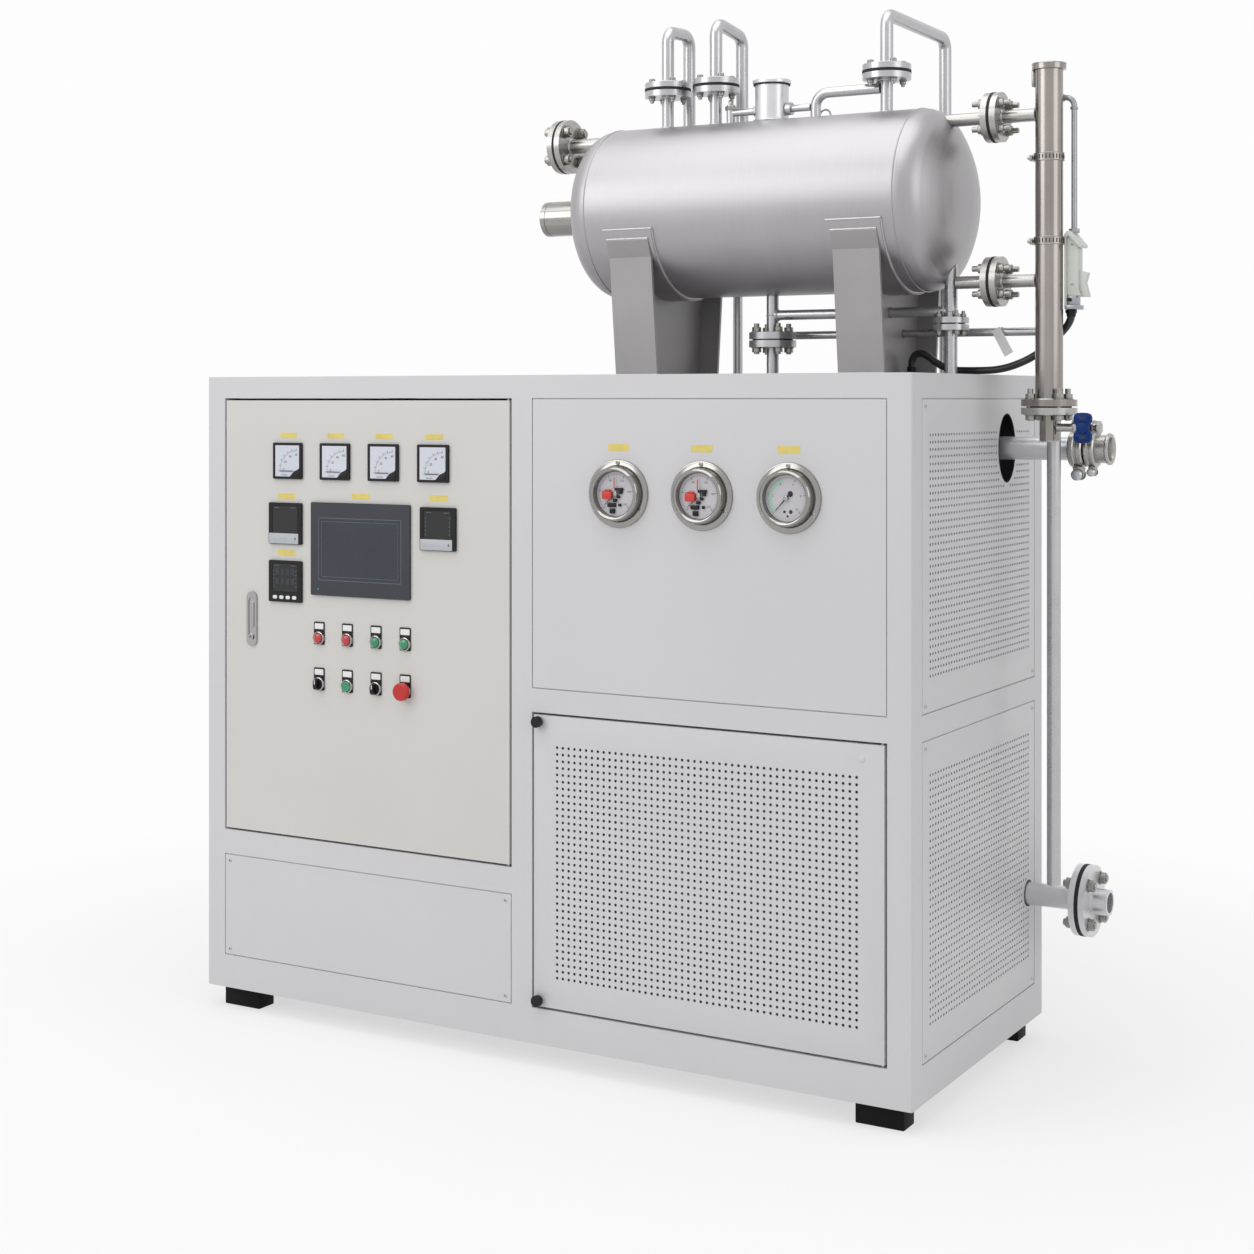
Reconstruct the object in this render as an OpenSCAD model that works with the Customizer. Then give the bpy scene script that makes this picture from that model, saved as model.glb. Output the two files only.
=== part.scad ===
// Skid-mounted electric thermal-oil heater: a sheet-steel cabinet on four feet
// carries an expansion tank, its vent loops, a level column and the oil pipes.
// Millimetres, +Z up, origin at the middle of the footprint on the floor, front at -Y.

/* [Cabinet] */
// Width of the cabinet along X
cab_w = 1790; // [1700:10:1900]
// Depth of the cabinet along Y
cab_d = 770; // [750:5:830]
// Height of the cabinet body above its feet
cab_h = 1440; // [1410:5:1500]
// Height of the feet
foot_h = 50; // [30:5:80]
// Width of a foot along X
foot_w = 105; // [80:5:130]
// Depth of a foot along Y
foot_d = 90; // [70:5:110]
// Distance of a foot in from the cabinet's outer faces
foot_inset = 28; // [10:2:50]
// Face width of the posts
post_w = 52; // [46:1:60]
// Radius of the outer folded corners of the posts
post_fold_r = 4; // [2:0.5:8]
// Offset of the middle posts from the cabinet's centre
mid_post_x = -8; // [-30:1:30]
// Height of the top rails
top_rail_h = 50; // [40:1:60]
// Height of the bottom rails
base_rail_h = 77; // [60:1:90]
// Thickness of the top plate
top_t = 3; // [2:0.5:5]
// Sheet thickness of panels and doors
sheet_t = 2; // [1.5:0.5:3]
// Height of the low panel under the control door
low_panel_h = 239; // [200:1:280]
// Height of the rail above the low panel
low_rail_h = 57; // [45:1:70]
// Height of the pump bay opening
vent_bay_h = 637; // [600:1:680]
// Height of the rail above the pump bay
mid_rail_h = 51; // [40:1:60]
// Depth of the rails behind the cabinet faces
rail_d = 40; // [30:1:50]
// Depth of a panel's folded tray
panel_d = 16; // [12:1:20]
// Width of the groove round a panel
groove_w = 2.5; // [1.5:0.5:4]
// Depth of the groove round a panel
groove_d = 3; // [2:0.5:4]
// Play between a panel's tray and the frame
panel_play = 0.3; // [0.2:0.1:0.8]
// Height of the closed heater casing inside the right bay
casing_h = 1346; // [1300:2:1356]

/* [Doors] */
// Gap round a door leaf
door_gap = 5; // [5:0.5:7]
// Gap beside the hinge edge
hinge_gap = 6; // [6:0.5:8]
// Depth of the door leaves
leaf_d = 22; // [18:1:28]
// Distance of the hinge axis in from the leaf's edge and face
hinge_inset = 5; // [4.5:0.5:6]
// Diameter of the hinge pins
hinge_pin_d = 6; // [5:0.5:6]
// Depth that a hinge pin reaches into its leaf
pin_reach = 14; // [10:1:20]
// Running play of a hinge pin all round
pin_play = 0.05; // [0.02:0.01:0.09]
// Diameter of the knobs on the vent door
knob_d = 24; // [18:1:28]
// Distance of a knob from the vent door's edges
knob_inset = 14; // [13:1:20]

/* [Perforation] */
// Pitch of the perforation
perf_pitch = 29; // [28:0.5:60]
// Diameter of one hole
perf_d = 6; // [4:0.5:7]
// Margin beside the vent door's perforation
vent_margin_x = 58; // [45:1:80]
// Margin over and under the vent door's perforation
vent_margin_z = 66; // [50:1:90]
// Margin beside the side panels' perforation
side_margin_y = 40; // [36:1:60]
// Margin over and under the side panels' perforation
side_margin_z = 63; // [50:1:90]

/* [Instruments] */
// Side of an ammeter's bezel
meter_w = 84; // [72:1:92]
// Pitch of the ammeters
meter_pitch = 137; // [120:1:150]
// Side of a temperature controller's bezel
controller_w = 96; // [92:1:100]
// Width of the touch panel
screen_w = 279; // [240:1:300]
// Height of the touch panel
screen_h = 213; // [180:1:230]
// Pitch of the button columns
button_pitch = 81; // [70:1:90]
// Distance between the two button rows
button_rows = 105; // [90:1:120]
// Outer diameter of a button's ring
button_d = 30; // [26:1:32]
// Diameter of the stop button's head
stop_d = 40; // [34:1:44]
// Travel of the stop button
stop_travel = 4; // [2:0.5:6]
// Diameter of a gauge's mounting flange
gauge_d = 144; // [120:2:160]
// Pitch of the gauges
gauge_pitch = 198; // [180:1:220]
// Height of the gauges above the mid rail
gauge_rise = 424; // [380:2:460]

/* [Tank] */
// Outer diameter of the tank
tank_d = 390; // [360:5:420]
// Length of the tank's straight shell
tank_l = 740; // [700:5:780]
// Wall thickness of the tank
tank_t = 5; // [3:0.5:8]
// Gap between the cabinet's top and the tank's underside
tank_lift = 177; // [165:1:205]
// Distance of the tank's middle from the cabinet's right side
tank_inset = 493; // [475:1:515]
// Distance between the saddles
saddle_pitch = 542; // [500:2:580]
// Width of a saddle's end plates
saddle_w = 105; // [90:1:120]
// Distance of a saddle's foot in from the tank's side
saddle_foot_in = 48; // [40:1:62]
// Distance of a saddle's top in from the tank's side
saddle_top_in = 16; // [11:1:25]
// Plate thickness of the saddles
saddle_t = 8; // [6:1:12]
// Diameter of the filler neck
neck_d = 75; // [60:1:90]
// Height of the filler neck's lid above the tank
neck_h = 94; // [80:1:115]

/* [Pipes] */
// Outer diameter of the small bore pipes
pipe_d = 27; // [24:0.5:30]
// Outer diameter of the oil outlet and return pipes
main_d = 50; // [44:0.5:58]
// Wall thickness of the pipes
pipe_t = 3; // [2:0.5:4]
// Outer diameter of the small flanges
flange_d = 105; // [95:1:115]
// Bolt circle of the small flanges
flange_pcd = 75; // [65:1:80]
// Bolt hole diameter of the small flanges
flange_hole = 14; // [11:0.5:15]
// Thickness of the small flanges
flange_t = 15; // [12:1:18]
// Thickness of the gaskets
gasket_t = 3; // [2:0.5:4]
// Outer diameter of the return flanges
return_flange_d = 155; // [140:1:165]
// Bolt circle of the return flanges
return_pcd = 120; // [100:1:125]
// Bolt hole diameter of the return flanges
return_hole = 19; // [14:0.5:19]
// Height of the oil outlet above the floor
outlet_z = 1332; // [1300:2:1340]
// Height of the oil return above the floor
return_z = 339; // [320:1:360]
// Diameter of the hole in the side panel for the outlet
outlet_hole_d = 148; // [130:2:160]
// Diameter of the long overflow pipe
overflow_d = 29; // [24:0.5:32]
// Radius of a swept pipe bend along its centre line
bend_r = 38; // [32:1:44]

/* [Level column] */
// Outer diameter of the level column
column_d = 57; // [50:1:62]
// Distance of the column's axis from the cabinet's side
column_gap = 146; // [135:1:160]
// Height of the column above its bottom flange
column_h = 682; // [660:2:700]
// Height of the column's bottom flange face above the floor
column_z = 1437; // [1425:1:1450]
// Diameter of the column's bottom flanges
column_flange_d = 115; // [105:1:120]

/* [Hidden] */
$fn = 48;
eps = 0.01;
seat = 0.2;

// Cabinet planes
x0 = -cab_w / 2;
x1 = cab_w / 2;
y0 = -cab_d / 2;
y1 = cab_d / 2;
body_z = foot_h;
deck_z = foot_h + cab_h;
frame_z = deck_z - top_t;
base_z = body_z + base_rail_h;
top_rail_z = deck_z - top_rail_h;
low_rail_z = base_z + low_panel_h;
door_z = low_rail_z + low_rail_h;
vent_top_z = base_z + vent_bay_h;
gauge_z = vent_top_z + mid_rail_h;
left_x = x0 + post_w;
right_x = x1 - post_w;
mid_x0 = mid_post_x - post_w / 2;
mid_x1 = mid_post_x + post_w / 2;
side_y = y1 - post_w;
floor_t = 4;
panel_lip = 3;
seam_play = 1;

// Leaves, from the frame openings and the gaps
leaf_x0 = left_x + door_gap;
leaf_x1 = mid_x0 - hinge_gap;
leaf_z0 = door_z + door_gap;
leaf_z1 = top_rail_z - door_gap;
vent_x0 = mid_x1 + door_gap;
vent_x1 = right_x - hinge_gap;
vent_z0 = base_z + door_gap;
vent_z1 = vent_top_z - door_gap;
block_w = 14;
block_h = 24;

// Instrument places on the control door, from its middle and its top edge
leaf_mid_x = (leaf_x0 + leaf_x1) / 2;
bezel_r = 3;
bezel_t = 6;
bezel_rim = 6;
window_sink = 1.5;
meter_body = 0.8 * meter_w;
meter_depth = 45;
meter_z = top_rail_z - 145;
meter_x0 = leaf_mid_x - 1.5 * meter_pitch - 6.5;
screen_x = leaf_mid_x - 3;
screen_z = top_rail_z - 345;
screen_frame = 12;
screen_rim_x = 23.5;
screen_rim_z = 35.5;
screen_depth = 40;
screen_play = 28;
controller_body = 0.9 * controller_w;
controller_depth = 80;
controller_rim = 11;
controller_strip = 8;
ctrl_left_x = screen_x - (screen_w + controller_w) / 2 - screen_play;
ctrl_right_x = screen_x + (screen_w + controller_w) / 2 + screen_play;
ctrl_top_z = top_rail_z - 290;
ctrl_low_z = top_rail_z - 424;
button_x0 = leaf_mid_x - 1.5 * button_pitch;
button_z = top_rail_z - 550;
button_body = 30;
button_hole_r = 11;
cut_play = 0.3;
plate_t = 2;
holder_rise = 11;
holder_extra = 22;
ring_t = 5;
ring_w = 4;
lens_h = 7;
disc_h = 8;
grip_h = 9;
grip_w = 9;
stop_gap = 6;
stop_h = 12;
stop_round = 4;
lock_x = leaf_x0 + 79;
lock_z = top_rail_z - 516;
lock_w = 30;
lock_h = 128;
lock_slot_w = 18;
lock_slot_h = 100;
lock_t = 4;
lock_key_r = 7;
lock_key_drop = 42;
knob_h = 16;

// Gauge places, beside and above the middle of the gauge panel
gauge_mid_x = (mid_x1 + right_x) / 2 + 2;
gauge_z0 = gauge_z + gauge_rise;
gauge_rim_t = 4;
gauge_body_r = gauge_d / 2 - 22;
gauge_depth = 60;
gauge_ring_w = 6;
gauge_ring_h = 22;
gauge_wall = 4;
gauge_screw_in = 8;
gauge_screw_r = 2.5;
dial_h = 6;
hub_r = 6;
hub_h = 7;

// Tank places
tank_r = tank_d / 2;
tank_rise = tank_r + tank_lift;
tank_x = x1 - tank_inset;
tank_z = deck_z + tank_rise;
tank_top_z = tank_z + tank_r;
tank_x0 = tank_x - tank_l / 2;
tank_x1 = tank_x + tank_l / 2;
crown_r = 0.8 * tank_d;
knuckle_r = 0.154 * tank_d;
head_depth = crown_r - sqrt(pow(crown_r - knuckle_r, 2) - pow(tank_r - knuckle_r, 2));
sink = 30;
saddle_x0 = tank_x + 10 - saddle_pitch / 2;
saddle_x1 = tank_x + 10 + saddle_pitch / 2;
saddle_foot = tank_r - saddle_foot_in;
saddle_top = tank_r - saddle_top_in;
saddle_top_z = deck_z + 0.8 * tank_rise;
wear_t = 5;
wear_w = saddle_w + 20;
wear_top_z = tank_z - 0.257 * tank_r;
lid_t = 14;
lid_lap = 5;
pipe_r = pipe_d / 2;
nozzle_x = [tank_x - 262, tank_x - 138, tank_x + 277];
nozzle_z = tank_top_z + 84;
loop_top = [tank_top_z + 223, tank_top_z + 229, tank_top_z + 223];
loop_back = [tank_r - 92, tank_r - 65, y1 - 43];
loop_end_z = [tank_top_z - 60, tank_top_z - 90, deck_z];
neck_x = tank_x + 2;
neck_play = 12;
thin_z = tank_top_z + 23;
thin_r = 8;
thin_nut_r = 14;
cock_x = tank_x - 100;
cock_r = 10;
cock_h = 18;
bypass_x = tank_x + 109;
bypass_z = nozzle_z - flange_t - 17;
bypass_r = 11.5;
bypass_bend = 30;

// Pipe places over the deck
drop_x = tank_x + 4;
drop_flange_z = deck_z + 78;
riser_x = tank_x1 + 54;
riser_flange_z = deck_z + 106;
riser_flange_d = 76;
riser_flange_t = 12;
riser_pcd = 56;
riser_hole = 9;
riser_gasket_r = 22;
cross_z = deck_z + 134;
cross_r = 11;
spill_r = 9;
spill_x = drop_x - 38;
spill_bend = 24;
rear_pipe = [tank_x - 203, tank_r + 40];
rear_pipe_z = wear_top_z + 18;
rear_r = 11.5;
rear_reach = 60;

// Nozzle and socket on the left head
head_nozzle_z = tank_top_z - 27;
head_nozzle_x = tank_x0 - 148;
head_nozzle_r = pipe_r + 3;
head_flange_d = 125;
head_pcd = 90;
head_hole = 19;
head_gasket_r = 56;
head_plug_r = 34;
head_plug_l = 16;
socket_x = tank_x0 - head_depth;
socket_r = 41;
socket_near = 26;
socket_groove = 2;
socket_l = 134;

// Level column places
column_x = x1 + column_gap;
column_r = column_d / 2;
column_t = 2;
column_top = column_z + column_h;
column_cap_t = 13;
column_cap_lap = 6.5;
column_flange_t = 14;
column_pcd = 85;
band_z = [column_top - 181, column_top - 354];
band_w = 16;
band_t = 2.5;
arm_z = [tank_z - tank_r + 17, tank_top_z - 29];
arm_flange_x = x1 + 30;
drain_z = column_z - column_flange_t * 2 - gasket_t - 27;
drain_d = 17;
stub_r = 17;
stub_l = 56;
valve_x = column_x + 81;
valve_half = 24;
valve_r = 12;
valve_body_half = 14;
valve_body_r = 16;
bonnet_r = 8;
bonnet_l = 22;
stem_r = 4;
stem_l = 30;
stem_play = 0.05;
valve_bore = 6;
handle_y = bonnet_l + 0.3;
handle_l = 36;
handle_r = 10;
wing_y = bonnet_l + 2;
wing_t = 11;
wing_w = 18;
wing_h = 58;
switch_x = column_x + column_r + band_t + seat;
switch_z = deck_z + 133;
switch_d = 44;
switch_side = [[0, 0], [44, 0], [58, 40], [44, 60], [44, 130], [22, 162], [0, 162]];
conduit_x = column_x + 51;
conduit_z = tank_top_z + 5;
conduit_r = 6;
conduit_bend = 20;
conduit_end_z = switch_z + 120;

// Oil pipe places
main_r = main_d / 2;
casing_x0 = mid_x1 + 72;
casing_x1 = right_x + 6;
casing_y0 = y0 + 255;
casing_y1 = side_y - 5;
casing_z1 = body_z + floor_t + casing_h;
outlet_y = y1 - 232;
coupling_x = x1 + 142;
coupling_wall = 5;
coupling_ring = 11;
coupling_ring_x = [[4, 32], [40, 58]];
coupling_l = 84;
coupling_lip = [80, 89];
ear_t = 9;
ear_h = 30;
return_y = y1 - 93;
return_face_x = x1 + 115;
return_flange_t = 16;
hub_l = 35;
hub_wall = 3;
overflow_x = x1 + 131;
overflow_y = flange_d / 2 + 22.5;
overflow_z = deck_z + 91;
overflow_end = 417;
overflow_head = 26;
overflow_cap = 4;

// Route of the black cable from its gland on the deck to the level switch,
// from the gland in whole millimetres
cable_d = 16;
cable_route = [
  [712, 62, 1508], [712, 62, 1520], [719, 62, 1533], [733, 62, 1537],
  [750, 62, 1530], [768, 61, 1517], [790, 60, 1506], [816, 59, 1500],
  [846, 58, 1499], [876, 56, 1499], [902, 54, 1500], [928, 52, 1504],
  [953, 49, 1511], [978, 47, 1521], [1002, 45, 1534], [1024, 43, 1550],
  [1044, 40, 1567], [1062, 35, 1583], [1074, 28, 1596], [1080, 24, 1609],
  [1080, 24, 1623]
];
gland_h = 18;

paint = "#e3e3e2";
door_paint = "#e0ddd6";
tank_paint = "#c3c5c9";
steel = "#b9bcc0";
dark = "#26272b";

// 2D helpers

module rounded(w, h, r) {
  // rectangle of w by h, centred, with corners of radius r
  square([w - 2 * r, h], center = true);
  square([w, h - 2 * r], center = true);
  for (sx = [-1, 1], sy = [-1, 1])
    translate([sx * (w / 2 - r), sy * (h / 2 - r)]) circle(r);
}

module ring(r_out, r_in) {
  difference() {
    circle(r_out);
    circle(r_in);
  }
}

// 3D helpers

module box(p, q) {
  // box between two opposite corners
  translate(p) cube(q - p);
}

function unit(v) = v / norm(v);

function across(d) = abs(d[2]) > 0.9 ? unit(cross([0, 1, 0], d)) : unit(cross([0, 0, 1], d));

module aim(p, d) {
  // puts +Z of its children along d, at p
  z = unit(d);
  x = across(z);
  y = cross(z, x);
  multmatrix([
    [x[0], y[0], z[0], p[0]],
    [x[1], y[1], z[1], p[1]],
    [x[2], y[2], z[2], p[2]],
    [0, 0, 0, 1]
  ]) children();
}

module rod(p, q, r) {
  // straight round bar from p to q
  aim(p, q - p) cylinder(h = norm(q - p), r = r);
}

module tube(p, q, r, t) {
  // straight pipe from p to q, open at both ends
  aim(p, q - p) linear_extrude(norm(q - p)) ring(r, r - t);
}

module elbow(c, d1, d2, r, br) {
  // bend of centre-line radius br at corner c, from direction d1 to d2
  ct = d1 * d2;
  th = acos(ct);
  m = (d2 - d1 * ct) / sin(th);
  n = cross(d1, m);
  o = c - d1 * br * tan(th / 2) + m * br;
  multmatrix([
    [-m[0], d1[0], n[0], o[0]],
    [-m[1], d1[1], n[1], o[1]],
    [-m[2], d1[2], n[2], o[2]],
    [0, 0, 0, 1]
  ]) rotate_extrude(angle = th) translate([br, 0]) circle(r);
}

function trim(a, b, c, br) =
  // how much the bend at b takes off its legs
  br * tan(acos(unit(b - a) * unit(c - b)) / 2);

module run(pts, r, br = bend_r) {
  // pipe of radius r along the points, with a swept bend at each inner one
  n = len(pts);
  for (i = [0:n - 2]) {
    d = unit(pts[i + 1] - pts[i]);
    s = i == 0 ? 0 : trim(pts[i - 1], pts[i], pts[i + 1], br);
    e = i == n - 2 ? 0 : trim(pts[i], pts[i + 1], pts[i + 2], br);
    rod(pts[i] + d * s, pts[i + 1] - d * e, r);
  }
  for (i = [1:1:n - 2])
    elbow(pts[i], unit(pts[i] - pts[i - 1]), unit(pts[i + 1] - pts[i]), r, br);
}

module flange(p, d, fd, t, bore, pcd, hole, count = 4) {
  // round flange with its back face at p, thickness along d
  aim(p, d) linear_extrude(t) difference() {
    circle(fd / 2, $fn = 72);
    circle(bore);
    for (i = [0:count - 1]) rotate(360 / count * (i + 0.5))
      translate([pcd / 2, 0]) circle(hole / 2, $fn = 24);
  }
}

module small_flange(p, d, bore = pipe_r - pipe_t) {
  flange(p, d, flange_d, flange_t, bore, flange_pcd, flange_hole);
}

module gasket(p, d, r_out, r_in) {
  aim(p, d) linear_extrude(gasket_t) ring(r_out, r_in);
}

module knob(p, d, r, h) {
  // round knob standing from p along d, stepped like a turned head
  aim(p, d) {
    cylinder(h = h * 0.35, r = r * 0.7);
    translate([0, 0, h * 0.35]) cylinder(h = h * 0.65, r = r);
  }
}

module tank_hull(grow) {
  // outer form of the whole tank, to cut what is set on it
  translate([tank_x0, 0, tank_z]) rotate([0, 90, 0]) {
    cylinder(h = tank_l, r = tank_r + grow, $fn = 128);
    translate([0, 0, tank_l]) head_solid(grow);
    mirror([0, 0, 1]) head_solid(grow);
  }
}

module head_half(grow) {
  // right half of the head's section: crown arc, then knuckle arc
  k = [tank_r - knuckle_r, 0];
  u = unit([tank_r - knuckle_r, crown_r - head_depth]);
  reach = 20 + abs(grow);
  far = k + u * (knuckle_r + reach);
  intersection() {
    translate([0, head_depth - crown_r]) circle(crown_r + grow, $fn = 256);
    polygon([[0, 0], [0, head_depth + reach], far, k]);
  }
  intersection() {
    translate(k) circle(knuckle_r + grow, $fn = 128);
    polygon([k, far, k + [knuckle_r + reach, 0]]);
  }
}

module head_solid(grow) {
  rotate_extrude($fn = 128) head_half(grow);
}

// Cabinet frame

module post(x, y, sx, sy) {
  // square post whose outer corner points to sx, sy
  translate([x, y, body_z]) linear_extrude(frame_z - body_z) difference() {
    translate([sx > 0 ? -post_w : 0, sy > 0 ? -post_w : 0]) square(post_w);
    translate([-sx * post_fold_r, -sy * post_fold_r]) difference() {
      translate([sx > 0 ? 0 : -post_fold_r - eps, sy > 0 ? 0 : -post_fold_r - eps])
        square(post_fold_r + eps);
      circle(post_fold_r);
    }
  }
}

module corner_posts() {
  color(paint) {
    post(x0, y0, -1, -1);
    post(x1, y0, 1, -1);
    post(x0, y1, -1, 1);
    post(x1, y1, 1, 1);
  }
}

module middle_posts() {
  color(paint) for (y = [y0, y1 - rail_d])
    box([mid_x0, y, body_z], [mid_x1, y + rail_d, frame_z]);
}

module ring_rails(z, h) {
  // one level of rails round the cabinet, each between its posts
  for (y = [y0, y1 - rail_d]) {
    box([left_x, y, z], [mid_x0, y + rail_d, z + h]);
    box([mid_x1, y, z], [right_x, y + rail_d, z + h]);
  }
  for (x = [x0, x1 - rail_d])
    box([x, -side_y, z], [x + rail_d, side_y, z + h]);
}

module top_rails() {
  color(paint) ring_rails(top_rail_z, frame_z - top_rail_z);
}

module base_rails() {
  color(paint) ring_rails(body_z, base_rail_h);
}

module mid_rails() {
  color(paint) {
    box([left_x, y0, low_rail_z], [mid_x0, y0 + rail_d, door_z]);
    box([mid_x1, y0, vent_top_z], [right_x, y0 + rail_d, gauge_z]);
    box([mid_x1, y1 - rail_d, vent_top_z], [right_x, y1, gauge_z]);
    for (x = [x0, x1 - rail_d])
      box([x, -side_y, vent_top_z], [x + rail_d, side_y, gauge_z]);
  }
}

module top_plate() {
  // deck with clearance holes for the three pipes and the cable gland
  color(paint) translate([0, 0, frame_z]) linear_extrude(top_t) difference() {
    rounded(cab_w, cab_d, post_fold_r);
    for (p = [[drop_x, 0], [riser_x, 0], rear_pipe])
      translate(p) circle(pipe_r + seam_play);
  }
}

module floor_plate() {
  color(paint) difference() {
    box([x0 + rail_d, y0 + rail_d, body_z], [x1 - rail_d, y1 - rail_d, body_z + floor_t]);
    for (sx = [-1, 1], sy = [-1, 1])
      translate([sx * (x1 - post_w / 2), sy * (y1 - post_w / 2), body_z + floor_t / 2])
        cube([post_w, post_w, floor_t + 1], center = true);
  }
}

module feet() {
  color(dark) for (sx = [-1, 1], sy = [-1, 1])
    translate([sx * (x1 - foot_inset - foot_w / 2), sy * (y1 - foot_inset - foot_d / 2), 0])
      linear_extrude(foot_h) rounded(foot_w, foot_d, 4);
}

module bay_partition() {
  // folded sheet wall between the control bay and the heater bay
  z = body_z + floor_t;
  color(paint) {
    box([mid_x0 + 10, y0 + rail_d, z], [mid_x0 + 10 + sheet_t, y1 - rail_d, frame_z]);
    for (y = [y0 + rail_d, y1 - rail_d - sheet_t])
      box([mid_x0 + 10, y, z], [mid_x0 + 34, y + sheet_t, frame_z]);
  }
}

module heater_casing() {
  // closed insulated casing that carries the oil pipes
  color("#8f9194") box([casing_x0, casing_y0, body_z + floor_t], [casing_x1, casing_y1, casing_z1]);
}

module mounting_plate() {
  // bare component plate at the back of the control bay, on four studs
  margin = 50;
  stud_r = 6;
  px0 = left_x + margin;
  px1 = mid_x0 - margin;
  py = y1 - 60;
  back = y1 - groove_d - sheet_t;
  color("#cfd2d4") {
    box([px0, py, door_z], [px1, py + sheet_t, top_rail_z - margin]);
    for (x = [px0 + 30, px1 - 30], z = [door_z + 40, top_rail_z - margin - 40])
      rod([x, py + sheet_t, z], [x, back, z], stud_r);
  }
}

// Fixed panels

module panel_face(w, h) {
  // groove step round a raised face; the tray behind fills the opening
  linear_extrude(panel_d - groove_d) square([w - 2 * panel_play, h - 2 * panel_play], center = true);
  translate([0, 0, panel_d - groove_d - eps]) linear_extrude(groove_d + eps)
    square([w - 2 * groove_w, h - 2 * groove_w], center = true);
}

module panel(w, h) {
  // tray of sheet metal, open behind, its face at z = panel_d
  rim = 2 * (panel_play + sheet_t + panel_lip);
  difference() {
    panel_face(w, h);
    translate([0, 0, -1]) linear_extrude(panel_d - groove_d - sheet_t + 1)
      square([w - rim, h - rim], center = true);
  }
}

module perforated(w, h, mx, mz, hole = [0, 0], hole_r = 0) {
  // flat sheet with a square grid of holes inside its margins, leaving out
  // the holes that would meet a round cut-out
  nx = floor((w - 2 * mx) / perf_pitch);
  nz = floor((h - 2 * mz) / perf_pitch);
  difference() {
    square([w, h], center = true);
    for (i = [0:nx], k = [0:nz])
      if (norm([(i - nx / 2) * perf_pitch, (k - nz / 2) * perf_pitch] - hole) > hole_r + perf_d)
        translate([(i - nx / 2) * perf_pitch, (k - nz / 2) * perf_pitch]) circle(perf_d / 2, $fn = 16);
  }
}

module tray_walls(w, h, d) {
  // folded walls behind a panel's face
  linear_extrude(d) difference() {
    square([w - 2 * panel_play, h - 2 * panel_play], center = true);
    square([w - 2 * groove_w - 2 * sheet_t, h - 2 * groove_w - 2 * sheet_t], center = true);
  }
}

module front_at(x, z) {
  // panel plane of the cabinet's front, +Z of the children pointing out
  translate([x, y0 + panel_d, z]) rotate([90, 0, 0]) children();
}

module low_panel() {
  color(paint) front_at((left_x + mid_x0) / 2, (base_z + low_rail_z) / 2)
    panel(mid_x0 - left_x, low_panel_h);
}

module gauge_panel() {
  w = right_x - mid_x1;
  h = top_rail_z - gauge_z;
  color(paint) difference() {
    front_at((mid_x1 + right_x) / 2, (gauge_z + top_rail_z) / 2) panel(w, h);
    for (x = gauge_xs())
      rod([x, y0 - 1, gauge_z0], [x, y0 + panel_d, gauge_z0], gauge_body_r + 0.5);
  }
}

module side_pair(x, turn) {
  // two stacked panels on one side of the cabinet
  translate([x, 0, 0]) rotate([90, 0, turn]) {
    translate([0, (base_z + vent_top_z) / 2, 0]) panel(2 * side_y, vent_bay_h);
    translate([0, (gauge_z + top_rail_z) / 2, 0]) panel(2 * side_y, top_rail_z - gauge_z);
  }
}

module left_panels() {
  color(paint) side_pair(x0 + panel_d, -90);
}

module rear_panels() {
  // one tall panel behind the control bay and two behind the heater bay
  color(paint) translate([0, y1 - panel_d, 0]) rotate([90, 0, 180]) {
    translate([-(left_x + mid_x0) / 2, (base_z + top_rail_z) / 2, 0])
      panel(mid_x0 - left_x, top_rail_z - base_z);
    translate([-(mid_x1 + right_x) / 2, (base_z + vent_top_z) / 2, 0])
      panel(right_x - mid_x1, vent_bay_h);
    translate([-(mid_x1 + right_x) / 2, (gauge_z + top_rail_z) / 2, 0])
      panel(right_x - mid_x1, top_rail_z - gauge_z);
  }
}

module side_panel(z_low, z_high, y, z, r) {
  // perforated panel in the right side, raised face over a folded tray,
  // with a round hole of radius r at y, z
  w = 2 * side_y;
  h = z_high - z_low;
  zc = (z_low + z_high) / 2;
  translate([x1 - panel_d, 0, zc]) rotate([90, 0, 90]) {
    tray_walls(w, h, panel_d - groove_d);
    translate([0, 0, panel_d - groove_d]) linear_extrude(groove_d - sheet_t) difference() {
      square([w - 2 * groove_w, h - 2 * groove_w], center = true);
      square([w - 2 * groove_w - 2 * sheet_t, h - 2 * groove_w - 2 * sheet_t], center = true);
    }
    translate([0, 0, panel_d - sheet_t]) linear_extrude(sheet_t) difference() {
      perforated(w - 2 * groove_w, h - 2 * groove_w, side_margin_y, side_margin_z, [y, z - zc], r);
      translate([y, z - zc]) circle(r, $fn = 96);
    }
  }
}

module side_panel_upper() {
  color(paint) side_panel(gauge_z, top_rail_z, outlet_y, outlet_z, outlet_hole_d / 2);
}

module side_panel_lower() {
  color(paint) side_panel(base_z, vent_top_z, return_y, return_z, main_r + seam_play);
}

// Doors

module leaf(w, h) {
  // sheet-metal leaf with folded edges, face at z = leaf_d
  difference() {
    linear_extrude(leaf_d) square([w, h], center = true);
    translate([0, 0, -1]) linear_extrude(leaf_d - sheet_t + 1)
      square([w - 2 * sheet_t, h - 2 * sheet_t], center = true);
  }
}

module hinge_blocks(x, z_low, z_high) {
  // bored corner blocks of a leaf that ends at x
  y = y0 + hinge_inset;
  difference() {
    for (z = [z_low, z_high - block_h])
      box([x - block_w, y0 + eps, z], [x, y0 + leaf_d, z + block_h]);
    hinge_bores(x, z_low, z_high);
  }
}

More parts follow.
